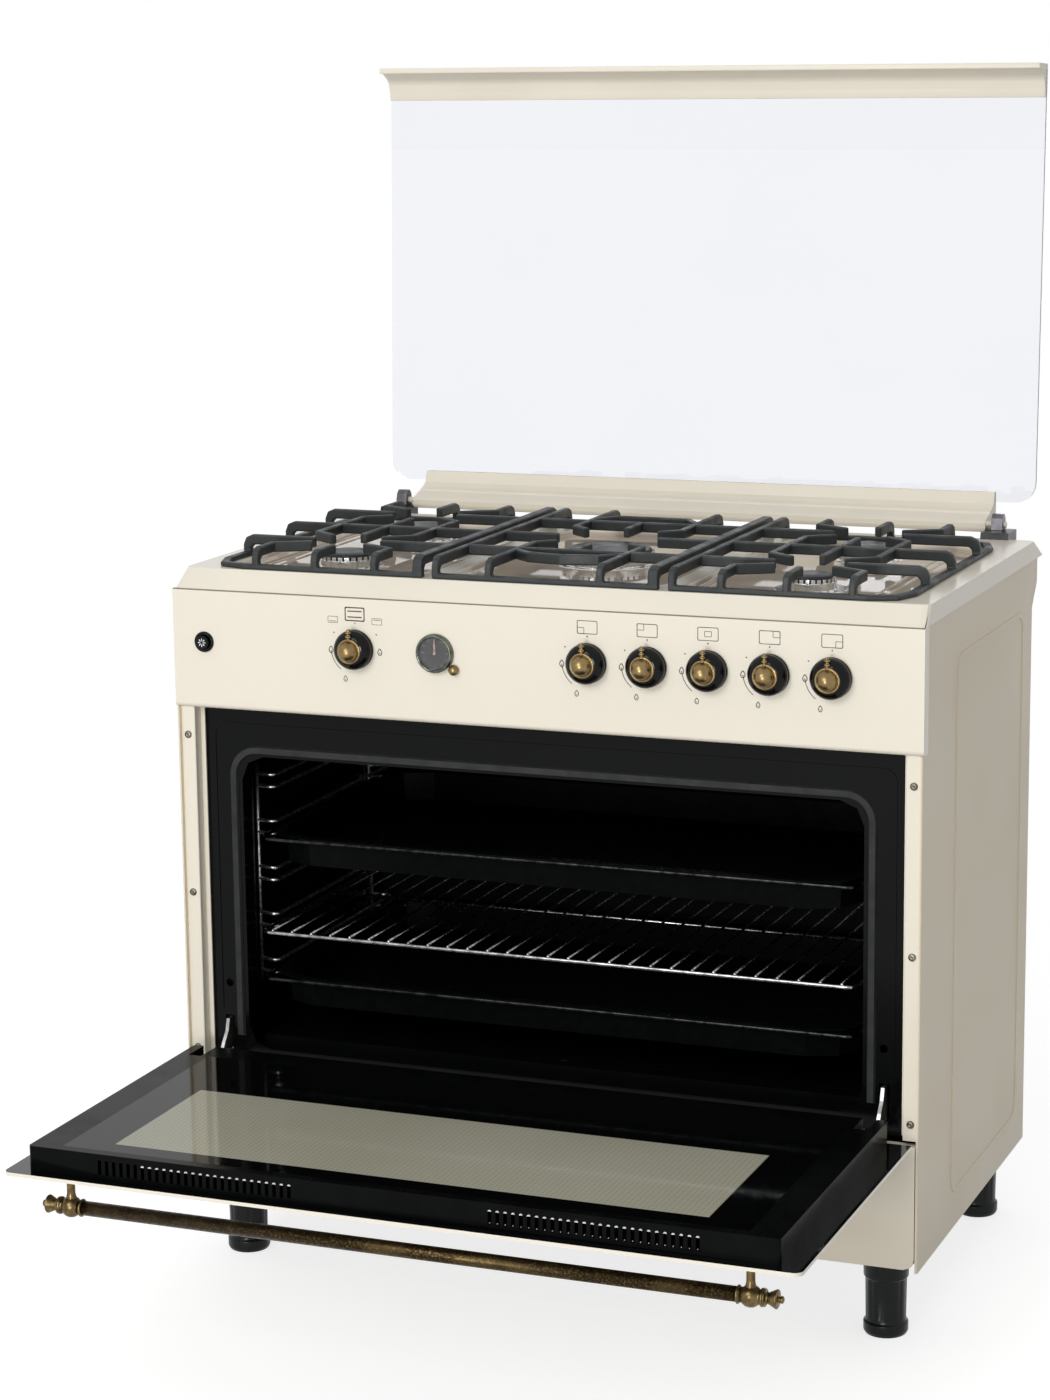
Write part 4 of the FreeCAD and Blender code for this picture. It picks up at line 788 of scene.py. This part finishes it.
# ---------------------------------------------------------------- door
class COOKER_OT_door(bpy.types.Operator):
    """Finishes the drop-down door and its panes"""
    bl_idname = "cooker.door"
    bl_label = "Oven door"

    def execute(self, context):
        eased("door_inner_frame", "door_frame_pressing", 0.0009, door_black(), "oven_door", 2,
              40.0, 0.2)
        dress(["door_inner_glass"], window_glass())
        dress(["door_outer_glass"], panel_glass())
        # light through the two rows of vents in the door's top edge, and the small holes under one row
        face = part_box("door_inner_frame")[0].y + 0.0012
        thick = 0.0014
        first, pitch = 0.113, 0.0086
        row, lower_row = 0.2676, 0.2549
        parts = []
        for sign, count in ((-1, 21), (1, 27)):
            for k in range(count):
                x = sign * (first + pitch * k)
                moon = [(x + 0.0019 * math.cos(t), row + 0.0017 * math.sin(t)) for t in angles(0, 180, 8)]
                parts.append(slab(moon, face, thick))
                if sign > 0:
                    speck = [(x - 0.0004, lower_row), (x + 0.0004, lower_row),
                             (x + 0.0003, lower_row + 0.0007), (x - 0.0003, lower_row + 0.0007)]
                    parts.append(slab(speck, face, thick))
        piece("vent_gleams", parts, ink("vent_gleam", linear(214, 214, 208)), "oven_door",
              smooth=False)
        return {"FINISHED"}


class COOKER_OT_handle(bpy.types.Operator):
    """Turns the door's handle: bar, collars, stems and finials"""
    bl_idname = "cooker.handle"
    bl_label = "Door handle"

    def execute(self, context):
        low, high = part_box("door_handle")
        y, z = middle("door_handle").y, low.z + 0.012
        half, radius = 0.385, 0.008
        stem_long = high.z - z
        bar = lathe([(-half, 0), (-half, radius), (half, radius), (half, 0)], (0, y, z), (1, 0, 0), 32)
        # a ball between two collars; the collars' outer halves come first and last
        collar = [(0.0145, 0), (0.0145, radius), (0.0135, 0.0098), (0.0125, 0.0098), (0.0115, 0.0085)]
        ball = [(-along, out) for along, out in collar]
        ball += [(0.0118 * math.sin(t), 0.0118 * math.cos(t)) for t in angles(-52, 52, 8)]
        ball += reversed(collar)
        stem = rounded([(0.008, 0.0), (0.008, 0.0066), (0.0125, 0.0052), (0.016, 0.0046),
                        (stem_long - 0.006, 0.0046), (stem_long - 0.002, 0.0058), (stem_long, 0.0062),
                        (stem_long, 0)], 0.001)
        tip = rounded([(0.0105, 0), (0.0105, 0.0088), (0.0122, 0.0098), (0.0136, 0.0098), (0.0142, 0.0086),
                       (0.0148, 0.0094), (0.0158, 0.0092), (0.0168, 0.0064), (0.0185, 0.0058),
                       (0.0270, 0.0100), (0.0283, 0.0100), (0.0292, 0.0080), (0.0297, 0.0034),
                       (0.0308, 0.0030), (0.0322, 0.0040), (0.0340, 0.0036), (0.035, 0.0014), (0.035, 0)],
                      0.0006)
        trim = []
        for sign in (-1, 1):
            spot = (sign * half, y, z)
            trim += [lathe(ball, spot, (1, 0, 0), 40), lathe(stem, spot, UP, 40),
                     lathe(tip, spot, (sign, 0, 0), 40)]
        piece("handle_bar_round", [bar], antique_brass(), "oven_door", ["door_handle"])
        piece("handle_trim", trim, bright_brass("finial_brass_finish", 0.16, 0.5), "oven_door",
              ["door_handle"])
        return {"FINISHED"}


# ---------------------------------------------------------------- lid
class COOKER_OT_lid(bpy.types.Operator):
    """Finishes the glass lid, its rails and hinges"""
    bl_idname = "cooker.lid"
    bl_label = "Glass lid"

    def execute(self, context):
        dress(["lid_glass"], clear_glass())
        dress(["lid_hinge_blocks"], leg_plastic())
        eased("lid_top_rail", "lid_top_moulding", 0.0012, lid_cream(), "lid", 2, 20.0)
        eased("lid_hinge_rail", "lid_hinge_moulding", 0.001, lid_cream(), "lid", 2, 20.0)
        hinge_metal = plated_steel("hinge_metal_finish", (92, 90, 96), (128, 125, 132))
        eased("lid_hinge_ears", "lid_hinge_cheeks", 0.002, hinge_metal, "cabinet")
        return {"FINISHED"}


# ---------------------------------------------------------------- burners
class COOKER_OT_burners(bpy.types.Operator):
    """Builds the slotted flame rings, their pressed cups and their glazed caps"""
    bl_idname = "cooker.burners"
    bl_label = "Burners"

    def ring(self, spot, cap, cup, teeth):
        """A crown of teeth on a turned cup."""
        crown, top = 0.0096, 0.0138
        inner, outer = cap + 0.0005, cap + 0.0034
        profile = [(0, 0), (0, cup), (0.0004, cup), (0.0008, cup - 0.0008), (0.0009, outer + 0.0014),
                   (0.0013, outer + 0.0004), (crown - 0.0008, outer - 0.0002),
                   (crown - 0.0004, outer + 0.0006), (crown, outer + 0.0004), (crown, inner),
                   (0.0085, inner), (0.0085, 0)]
        parts = [lathe(profile, spot, UP, 72)]
        half = math.tau / teeth * 0.34
        for turn in circle(teeth):
            corners = []
            for radius, lift in ((inner, crown), (outer, crown), (outer - 0.0003, top), (inner, top)):
                for t in (turn - half, turn + half):
                    corners.append(spot + Vector((radius * math.cos(t), radius * math.sin(t), lift)))
            faces = [(0, 1, 3, 2), (2, 3, 5, 4), (4, 5, 7, 6), (6, 7, 1, 0), (0, 2, 4, 6), (1, 3, 5, 7)]
            parts.append((corners, faces))
        return parts

    def execute(self, context):
        glaze = gloss_black("cap_glaze_finish", (26, 28, 28), (0.34, 0.5), 0.35)
        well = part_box("burner_heads")[0].z
        rings = []
        for name in BURNERS:
            low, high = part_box("burner_cap_" + name)
            x, y, _ = middle("burner_cap_" + name)
            radius = (high.x - low.x) / 2
            cup, teeth = (0.0655, 44) if name == "centre" else (0.0415, 26)
            rings += self.ring(Vector((x, y, well)), radius, cup, teeth)
            disc = rounded([(0, 0), (0, radius - 0.0012), (0.0008, radius), (0.0060, radius),
                            (0.0078, radius - 0.0012), (0.0092, radius - 0.0060), (0.0098, radius * 0.6),
                            (0.0100, 0)])
            piece("cap_disc_" + name, [lathe(disc, (x, y, low.z), UP, 72)], glaze, "cap_" + name,
                  ["burner_cap_" + name])
        piece("flame_rings", rings, cast_aluminium(), "cabinet", ["burner_heads"],
              smooth=False)
        return {"FINISHED"}


class COOKER_OT_pan_supports(bpy.types.Operator):
    """Finishes the three cast pan supports"""
    bl_idname = "cooker.pan_supports"
    bl_label = "Pan supports"

    def execute(self, context):
        for side in ("left", "centre", "right"):
            eased("pan_support_" + side, "cast_grid_" + side, 0.0018, cast_iron(), side + "_support",
                  2, 30.0)
        return {"FINISHED"}


# ---------------------------------------------------------------- knobs and panel
class COOKER_OT_knobs(bpy.types.Operator):
    """Turns the six knobs: black skirt, brass dome, collar and pointer"""
    bl_idname = "cooker.knobs"
    bl_label = "Knobs"

    def execute(self, context):
        steps = context.scene.cooker_sizes.smooth_steps
        back = PANEL_FACE - 0.0005
        skirt = rounded([(0, 0), (0, 0.0228), (0.003, 0.0232), (0.0038, 0.0222), (0.0046, 0.0220),
                         (0.0054, 0.0230), (0.0090, 0.0228), (0.0125, 0.0214), (0.0155, 0.0188),
                         (0.0172, 0.0160), (0.0178, 0.0135), (0.0178, 0)], 0.0009)
        dome = rounded([(0.0172, 0), (0.0172, 0.0140), (0.0184, 0.0145), (0.0192, 0.0138), (0.0194, 0.0126),
                        (0.0186, 0.0119)], 0.0005)
        dome += [(0.0188 + 0.0126 * math.sin(t), 0.0117 * math.cos(t)) for t in angles(0, 90, 9)]
        pointer = rounded([(0.012, 0.0), (0.012, 0.0022), (0.0158, 0.0022), (0.0164, 0.0034),
                           (0.0178, 0.0034), (0.0185, 0.0021), (0.0202, 0.0019), (0.0211, 0.0032),
                           (0.0224, 0.0033), (0.0231, 0.0020), (0.0244, 0.0018), (0.0249, 0.0024),
                           (0.0259, 0.0020), (0.0261, 0)], 0.0003)
        brass = bright_brass("dome_brass_finish", 0.52, 0.76)
        for name, x in KNOBS.items():
            spot = (x, back, KNOB_UP)
            turning = "knob_%s_turning" % name
            piece("knob_skirt_" + name, [lathe(skirt, spot, FORWARD, steps)], knob_gloss(), turning,
                  ["knob_" + name])
            brasses = [lathe(dome, spot, FORWARD, steps), lathe(pointer, (x, back - 0.0183, KNOB_UP), UP, 20)]
            piece("knob_dome_" + name, brasses, brass, turning, ["knob_cap_" + name])
        return {"FINISHED"}


class COOKER_OT_prints(bpy.types.Operator):
    """Prints the signs round each knob"""
    bl_idname = "cooker.prints"
    bl_label = "Panel prints"

    def line(self, points, wide, closed=False):
        self.prints += stroke(points, wide, PANEL_FACE, self.thick, closed)

    def box(self, x, z, wide, high, line):
        """An outlined box with slightly rounded corners."""
        left, right, low, top = x - wide / 2, x + wide / 2, z - high / 2, z + high / 2
        self.line(softened([(left, low), (right, low), (right, top), (left, top)], high * 0.12, 3, True),
                  line, True)

    def dot(self, x, z, r):
        ring = [(x + r * math.cos(t), z + r * math.sin(t)) for t in circle(12)]
        self.prints.append(slab(ring, PANEL_FACE, self.thick))

    def flame(self, x, z, size):
        """A drop with its point up and a dot in it."""
        drop = []
        for t in circle(16):
            wide = size * 0.42 * math.sin(t) * (1 - 0.45 * max(0.0, math.cos(t)))
            drop.append((x + wide, z + size * 0.62 * math.cos(t)))
        self.line(drop, size * 0.15, True)
        self.dot(x, z - size * 0.2, size * 0.12)

    def low_mark(self, x):
        """The small flame below a knob, and the arc that leads to it."""
        self.flame(x - 0.013, 0.723, 0.0052)
        self.line([(x + 0.0305 * math.cos(t), KNOB_UP + 0.0305 * math.sin(t)) for t in angles(188, 232, 12)],
                  0.0008)

    def execute(self, context):
        self.thick = context.scene.cooker_sizes.print_height
        self.prints = []
        above, stop_mark, beside = 0.7983, 0.7879, 0.756
        # which burner each knob works: its side of the hob, and its depth
        zones = {"front_left": (-1, -1), "rear_left": (-1, 1), "centre": (0, 0),
                 "rear_right": (1, 1), "front_right": (1, -1)}
        for name, (side, depth) in zones.items():
            x = KNOBS[name]
            self.box(x, above, 0.0235, 0.0145, 0.0008)
            if side:
                self.box(x + side * 0.0078, above + depth * 0.0038, 0.0078, 0.0068, 0.0006)
            else:
                self.box(x, above, 0.0078, 0.0058, 0.0006)
            self.dot(x, stop_mark, 0.0009)
            self.dot(x - 0.0265, 0.775, 0.0009)
            self.flame(x - 0.0305, beside, 0.0060)
            self.low_mark(x)
        x = KNOBS["oven"]
        self.box(x, above, 0.0235, 0.0150, 0.0014)
        for lift in (-0.0034, 0.0034):
            self.line([(x - 0.0082, above + lift), (x + 0.0082, above + lift)], 0.0014)
        self.dot(x, stop_mark, 0.0008)
        for sign in (-1, 1):
            across, up = x + sign * 0.0275, 0.791
            heat = up + sign * 0.0018
            self.box(across, up, 0.012, 0.0072, 0.0005)
            self.line([(across - 0.004, heat), (across + 0.004, heat)], 0.0007)
            self.dot(x + sign * 0.0265, 0.776, 0.0009)
            self.flame(x + sign * 0.0305, beside, 0.0060)
        self.low_mark(x)
        piece("panel_signs", self.prints, ink("panel_ink", finishes().print_ink), "cabinet",
              smooth=False)
        return {"FINISHED"}


class COOKER_OT_clock(bpy.types.Operator):
    """Builds the clock's rim, marks, hands and setting knob"""
    bl_idname = "cooker.clock"
    bl_label = "Clock"

    def blade(self, which):
        """A spade hand that points straight up, as deep as the CAD hand."""
        low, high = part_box("clock_%s_hand" % which)
        x, z = CLOCK.x, CLOCK.z
        reach = high.z - z
        half = [(0.0015, 0), (0.0013, 0.0009), (0.0005, 0.0016), (0.0004, reach * 0.42),
                (0.0013, reach * 0.58), (0.0004, reach * 0.74), (0.00025, reach)]
        outline = [(x + w, z + up) for w, up in half] + [(x - w, z + up) for w, up in reversed(half)]
        outline += [(x - 0.0012, z - 0.0009), (x, z - 0.0015), (x + 0.0012, z - 0.0009)]
        return slab(outline, high.y, high.y - low.y)

    def execute(self, context):
        spot = (CLOCK.x, PANEL_FACE, CLOCK.z)
        disc = [(0.0010, 0), (0.0010, 0.0186), (0.0016, 0.0186), (0.0016, 0)]
        piece("dial_disc", [lathe(disc, spot, FORWARD)], dial_paint(), "cabinet",
              ["clock_dial"], smooth=False)
        disc = [(0.0060, 0), (0.0060, 0.0185), (0.0068, 0.0185), (0.0072, 0.0178), (0.0072, 0)]
        pane = clear_glass("clock_pane_finish", (0.93, 0.93, 0.93), (0.96, 0.96, 0.96))
        piece("clock_pane", [lathe(disc, spot, FORWARD)], pane, "cabinet", ["clock_glass"],
              smooth=False)
        for which in ("hour", "minute"):
            piece(which + "_hand_blade", [self.blade(which)], hand_metal(), which + "_hand",
                  ["clock_%s_hand" % which], smooth=False)
        knob = middle("clock_set_knob")
        knob_spot = (knob.x, PANEL_FACE, knob.z)
        turned = [(0.0004, 0), (0.0004, 0.0036), (0.0014, 0.0052), (0.0024, 0.0061)]
        turned += [(0.0034 + 0.0054 * math.sin(t), 0.0061 * math.cos(t)) for t in angles(0, 90, 7)]
        stalk = [(-0.0098, 0), (-0.0098, 0.0022), (0.0006, 0.0022), (0.0006, 0)]
        piece("set_knob_round", [lathe(turned, knob_spot, FORWARD, 32), lathe(stalk, knob_spot, FORWARD, 16)],
              bright_brass(), "clock_setter", ["clock_set_knob"])
        rim = rounded([(0, 0), (0, 0.0226), (0.0055, 0.0223), (0.0078, 0.0210), (0.0079, 0.0198),
                       (0.0074, 0.0187), (0.001, 0.0187), (0.001, 0)], 0.0006)
        piece("clock_rim", [lathe(rim, spot, FORWARD, 64)],
              bright_wire("rim_metal_finish", (70, 74, 68), (110, 114, 104)), "cabinet",
              ["panel_bezels"])
        collar = rounded([(0, 0.0086), (0, 0.0122), (0.0022, 0.0120), (0.0030, 0.0110), (0.0030, 0.0088),
                          (0.002, 0.0086), (0, 0.0086)], 0.0004)
        piece("lamp_collar", [lathe(collar, (LAMP.x, PANEL_FACE, LAMP.z), FORWARD)], knob_gloss(), "cabinet",
              ["panel_bezels"])
        marks = []
        edge, face = 0.0168, PANEL_FACE - 0.0016
        for hour, t in enumerate(circle(12)):
            inner = edge - (0.0022 if hour % 3 else 0.0035)
            ends = [(CLOCK.x + r * math.sin(t), CLOCK.z + r * math.cos(t)) for r in (edge, inner)]
            marks += stroke(ends, 0.0010, face, 0.0001)
        piece("clock_marks", marks, ink("dial_mark_ink", linear(128, 126, 100)), "cabinet",
              smooth=False)
        return {"FINISHED"}


class COOKER_OT_light_button(bpy.types.Operator):
    """Finishes the lamp button and prints its sign"""
    bl_idname = "cooker.light_button"
    bl_label = "Lamp button"

    def around(self, radius, t):
        return (LAMP.x + radius * math.cos(t), LAMP.z + radius * math.sin(t))

    def execute(self, context):
        dress(["light_button"], knob_gloss())
        face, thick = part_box("light_button")[0].y, 0.0003
        sign = stroke([self.around(0.0018, t) for t in circle(12)], 0.0009, face, thick, True)
        for t in circle(8):
            sign += stroke([self.around(0.0028, t), self.around(0.0043, t)], 0.0010, face, thick)
        piece("lamp_sign", sign, ink("lamp_sign_ink", linear(245, 245, 245)), "light_switch",
              smooth=False)
        return {"FINISHED"}


# ---------------------------------------------------------------- stage
class COOKER_OT_stage(bpy.types.Operator):
    """Sets the floor, soft lamps and camera"""
    bl_idname = "cooker.stage"
    bl_label = "Stage"

    def seen(self, tree):
        """1 for the camera, for mirrored and for see-through rays, and 0 for the light on the object."""
        path = tree.nodes.new("ShaderNodeLightPath")
        last = path.outputs["Is Camera Ray"]
        for other in ("Is Glossy Ray", "Is Transmission Ray"):
            most = tree.nodes.new("ShaderNodeMath")
            most.operation = "MAXIMUM"
            tree.links.new(last, most.inputs[0])
            tree.links.new(path.outputs[other], most.inputs[1])
            last = most.outputs[0]
        return last

    def floor(self, settings):
        r = 40.0
        mesh = bpy.data.meshes.new("floor")
        mesh.from_pydata([(-r, -r, 0), (r, -r, 0), (r, r, 0), (-r, r, 0)], [], [(0, 1, 2, 3)])
        p = Paint("floor_finish")
        tone = p.blend(p.haze(1.2, 2.0, 0.0, 1.0), shifted(settings.floor_tone, 0.99), settings.floor_tone)
        glow = p.math("MULTIPLY", self.seen(p.tree), settings.floor_glow)
        p.coat(tone, 0.9, Specular_IOR_Level=0.1, Emission_Color=(1, 1, 1), Emission_Strength=glow)
        mesh.materials.append(p.material)
        shown("floor", mesh)

    def sky(self, settings):
        """White to look at, and on the object a soft light that is stronger from above."""
        world = bpy.data.worlds.new("studio")
        bpy.context.scene.world = world
        world.use_nodes = True
        tree = world.node_tree
        tree.nodes.clear()
        lit, looked_at = (tree.nodes.new("ShaderNodeBackground") for _ in range(2))
        for background in (lit, looked_at):
            background.inputs["Color"].default_value = (1, 1, 1, 1)
        looked_at.inputs["Strength"].default_value = 1.0
        split = tree.nodes.new("ShaderNodeSeparateXYZ")
        rise = tree.nodes.new("ShaderNodeMapRange")
        rise.inputs["To Min"].default_value = settings.side_fill
        rise.inputs["To Max"].default_value = settings.side_fill + settings.sky_fill
        mix = tree.nodes.new("ShaderNodeMixShader")
        for source, target in (
                (tree.nodes.new("ShaderNodeTexCoord").outputs["Generated"], split.inputs[0]),
                (split.outputs["Z"], rise.inputs["Value"]),
                (rise.outputs["Result"], lit.inputs["Strength"]),
                (self.seen(tree), mix.inputs["Fac"]),
                (lit.outputs[0], mix.inputs[1]),
                (looked_at.outputs[0], mix.inputs[2]),
                (mix.outputs[0], tree.nodes.new("ShaderNodeOutputWorld").inputs["Surface"])):
            tree.links.new(source, target)

    def lamp(self, name, spot, aim, size, power):
        data = bpy.data.lights.new(name, "AREA")
        data.shape = "DISK"
        data.size = size
        data.energy = power
        thing = shown(name, data)
        thing.location = spot
        thing.rotation_euler = (Vector(aim) - Vector(spot)).to_track_quat("-Z", "Y").to_euler()

    def camera(self, settings):
        """The photographer's place, as worked out from the photo's edges. Angles are in radians."""
        yaw, pitch, roll = 0.3801, 0.1943, -0.0119
        spot = (1.3506, -3.4951, 1.4332)
        ahead = Vector((-math.sin(yaw) * math.cos(pitch), math.cos(yaw) * math.cos(pitch), -math.sin(pitch)))
        right = ahead.cross(Vector(UP)).normalized()
        up = right.cross(ahead)
        across = right * math.cos(roll) + up * math.sin(roll)
        rise = up * math.cos(roll) - right * math.sin(roll)
        data = bpy.data.cameras.new("camera")
        data.sensor_fit = "VERTICAL"
        data.sensor_height = 36.0
        data.lens = settings.lens
        data.clip_end = 200.0
        thing = shown("camera", data)
        turned = Matrix((across, rise, -ahead)).transposed().to_4x4()
        thing.matrix_world = Matrix.Translation(spot) @ turned
        bpy.context.scene.camera = thing

    def execute(self, context):
        settings = context.scene.cooker_stage
        self.floor(settings)
        self.sky(settings)
        self.lamp("key_lamp", (-0.9, -4.8, 3.3), (0, 0, 0.6), 2.6, settings.key_power)
        self.lamp("front_lamp", (0.3, -5.2, 0.64), (0, 0, 0.5), 1.2, settings.front_power)
        self.camera(settings)
        context.scene.view_settings.view_transform = "Standard"
        return {"FINISHED"}


class COOKER_PT_panel(bpy.types.Panel):
    """Lists the pieces of the cooker"""
    bl_idname = "COOKER_PT_panel"
    bl_label = "Range cooker"
    bl_space_type = "VIEW_3D"
    bl_region_type = "UI"
    bl_category = "Cooker"

    def draw(self, context):
        scene = context.scene
        for group in (scene.cooker_finishes, scene.cooker_sizes, scene.cooker_stage):
            for key in group.__annotations__:
                self.layout.prop(group, key)
        for maker in MAKERS:
            self.layout.operator(maker.bl_idname)


GROUPS = (CookerFinishes, CookerSizes, CookerStage)
MAKERS = (COOKER_OT_cabinet, COOKER_OT_legs, COOKER_OT_screws, COOKER_OT_oven, COOKER_OT_wires,
          COOKER_OT_door, COOKER_OT_handle, COOKER_OT_lid, COOKER_OT_burners, COOKER_OT_pan_supports,
          COOKER_OT_knobs, COOKER_OT_prints, COOKER_OT_clock, COOKER_OT_light_button, COOKER_OT_stage)


def register():
    for kind in GROUPS + MAKERS + (COOKER_PT_panel,):
        bpy.utils.register_class(kind)
    bpy.types.Scene.cooker_finishes = bpy.props.PointerProperty(type=CookerFinishes)
    bpy.types.Scene.cooker_sizes = bpy.props.PointerProperty(type=CookerSizes)
    bpy.types.Scene.cooker_stage = bpy.props.PointerProperty(type=CookerStage)


def unregister():
    del bpy.types.Scene.cooker_stage
    del bpy.types.Scene.cooker_sizes
    del bpy.types.Scene.cooker_finishes
    for kind in reversed(GROUPS + MAKERS + (COOKER_PT_panel,)):
        bpy.utils.unregister_class(kind)


def main():
    register()
    bpy.ops.cooker.cabinet()
    bpy.ops.cooker.legs()
    bpy.ops.cooker.screws()
    bpy.ops.cooker.oven()
    bpy.ops.cooker.wires()
    bpy.ops.cooker.door()
    bpy.ops.cooker.handle()
    bpy.ops.cooker.lid()
    bpy.ops.cooker.burners()
    bpy.ops.cooker.pan_supports()
    bpy.ops.cooker.knobs()
    bpy.ops.cooker.prints()
    bpy.ops.cooker.clock()
    bpy.ops.cooker.light_button()
    bpy.ops.cooker.stage()


if __name__ == "__main__":
    main()
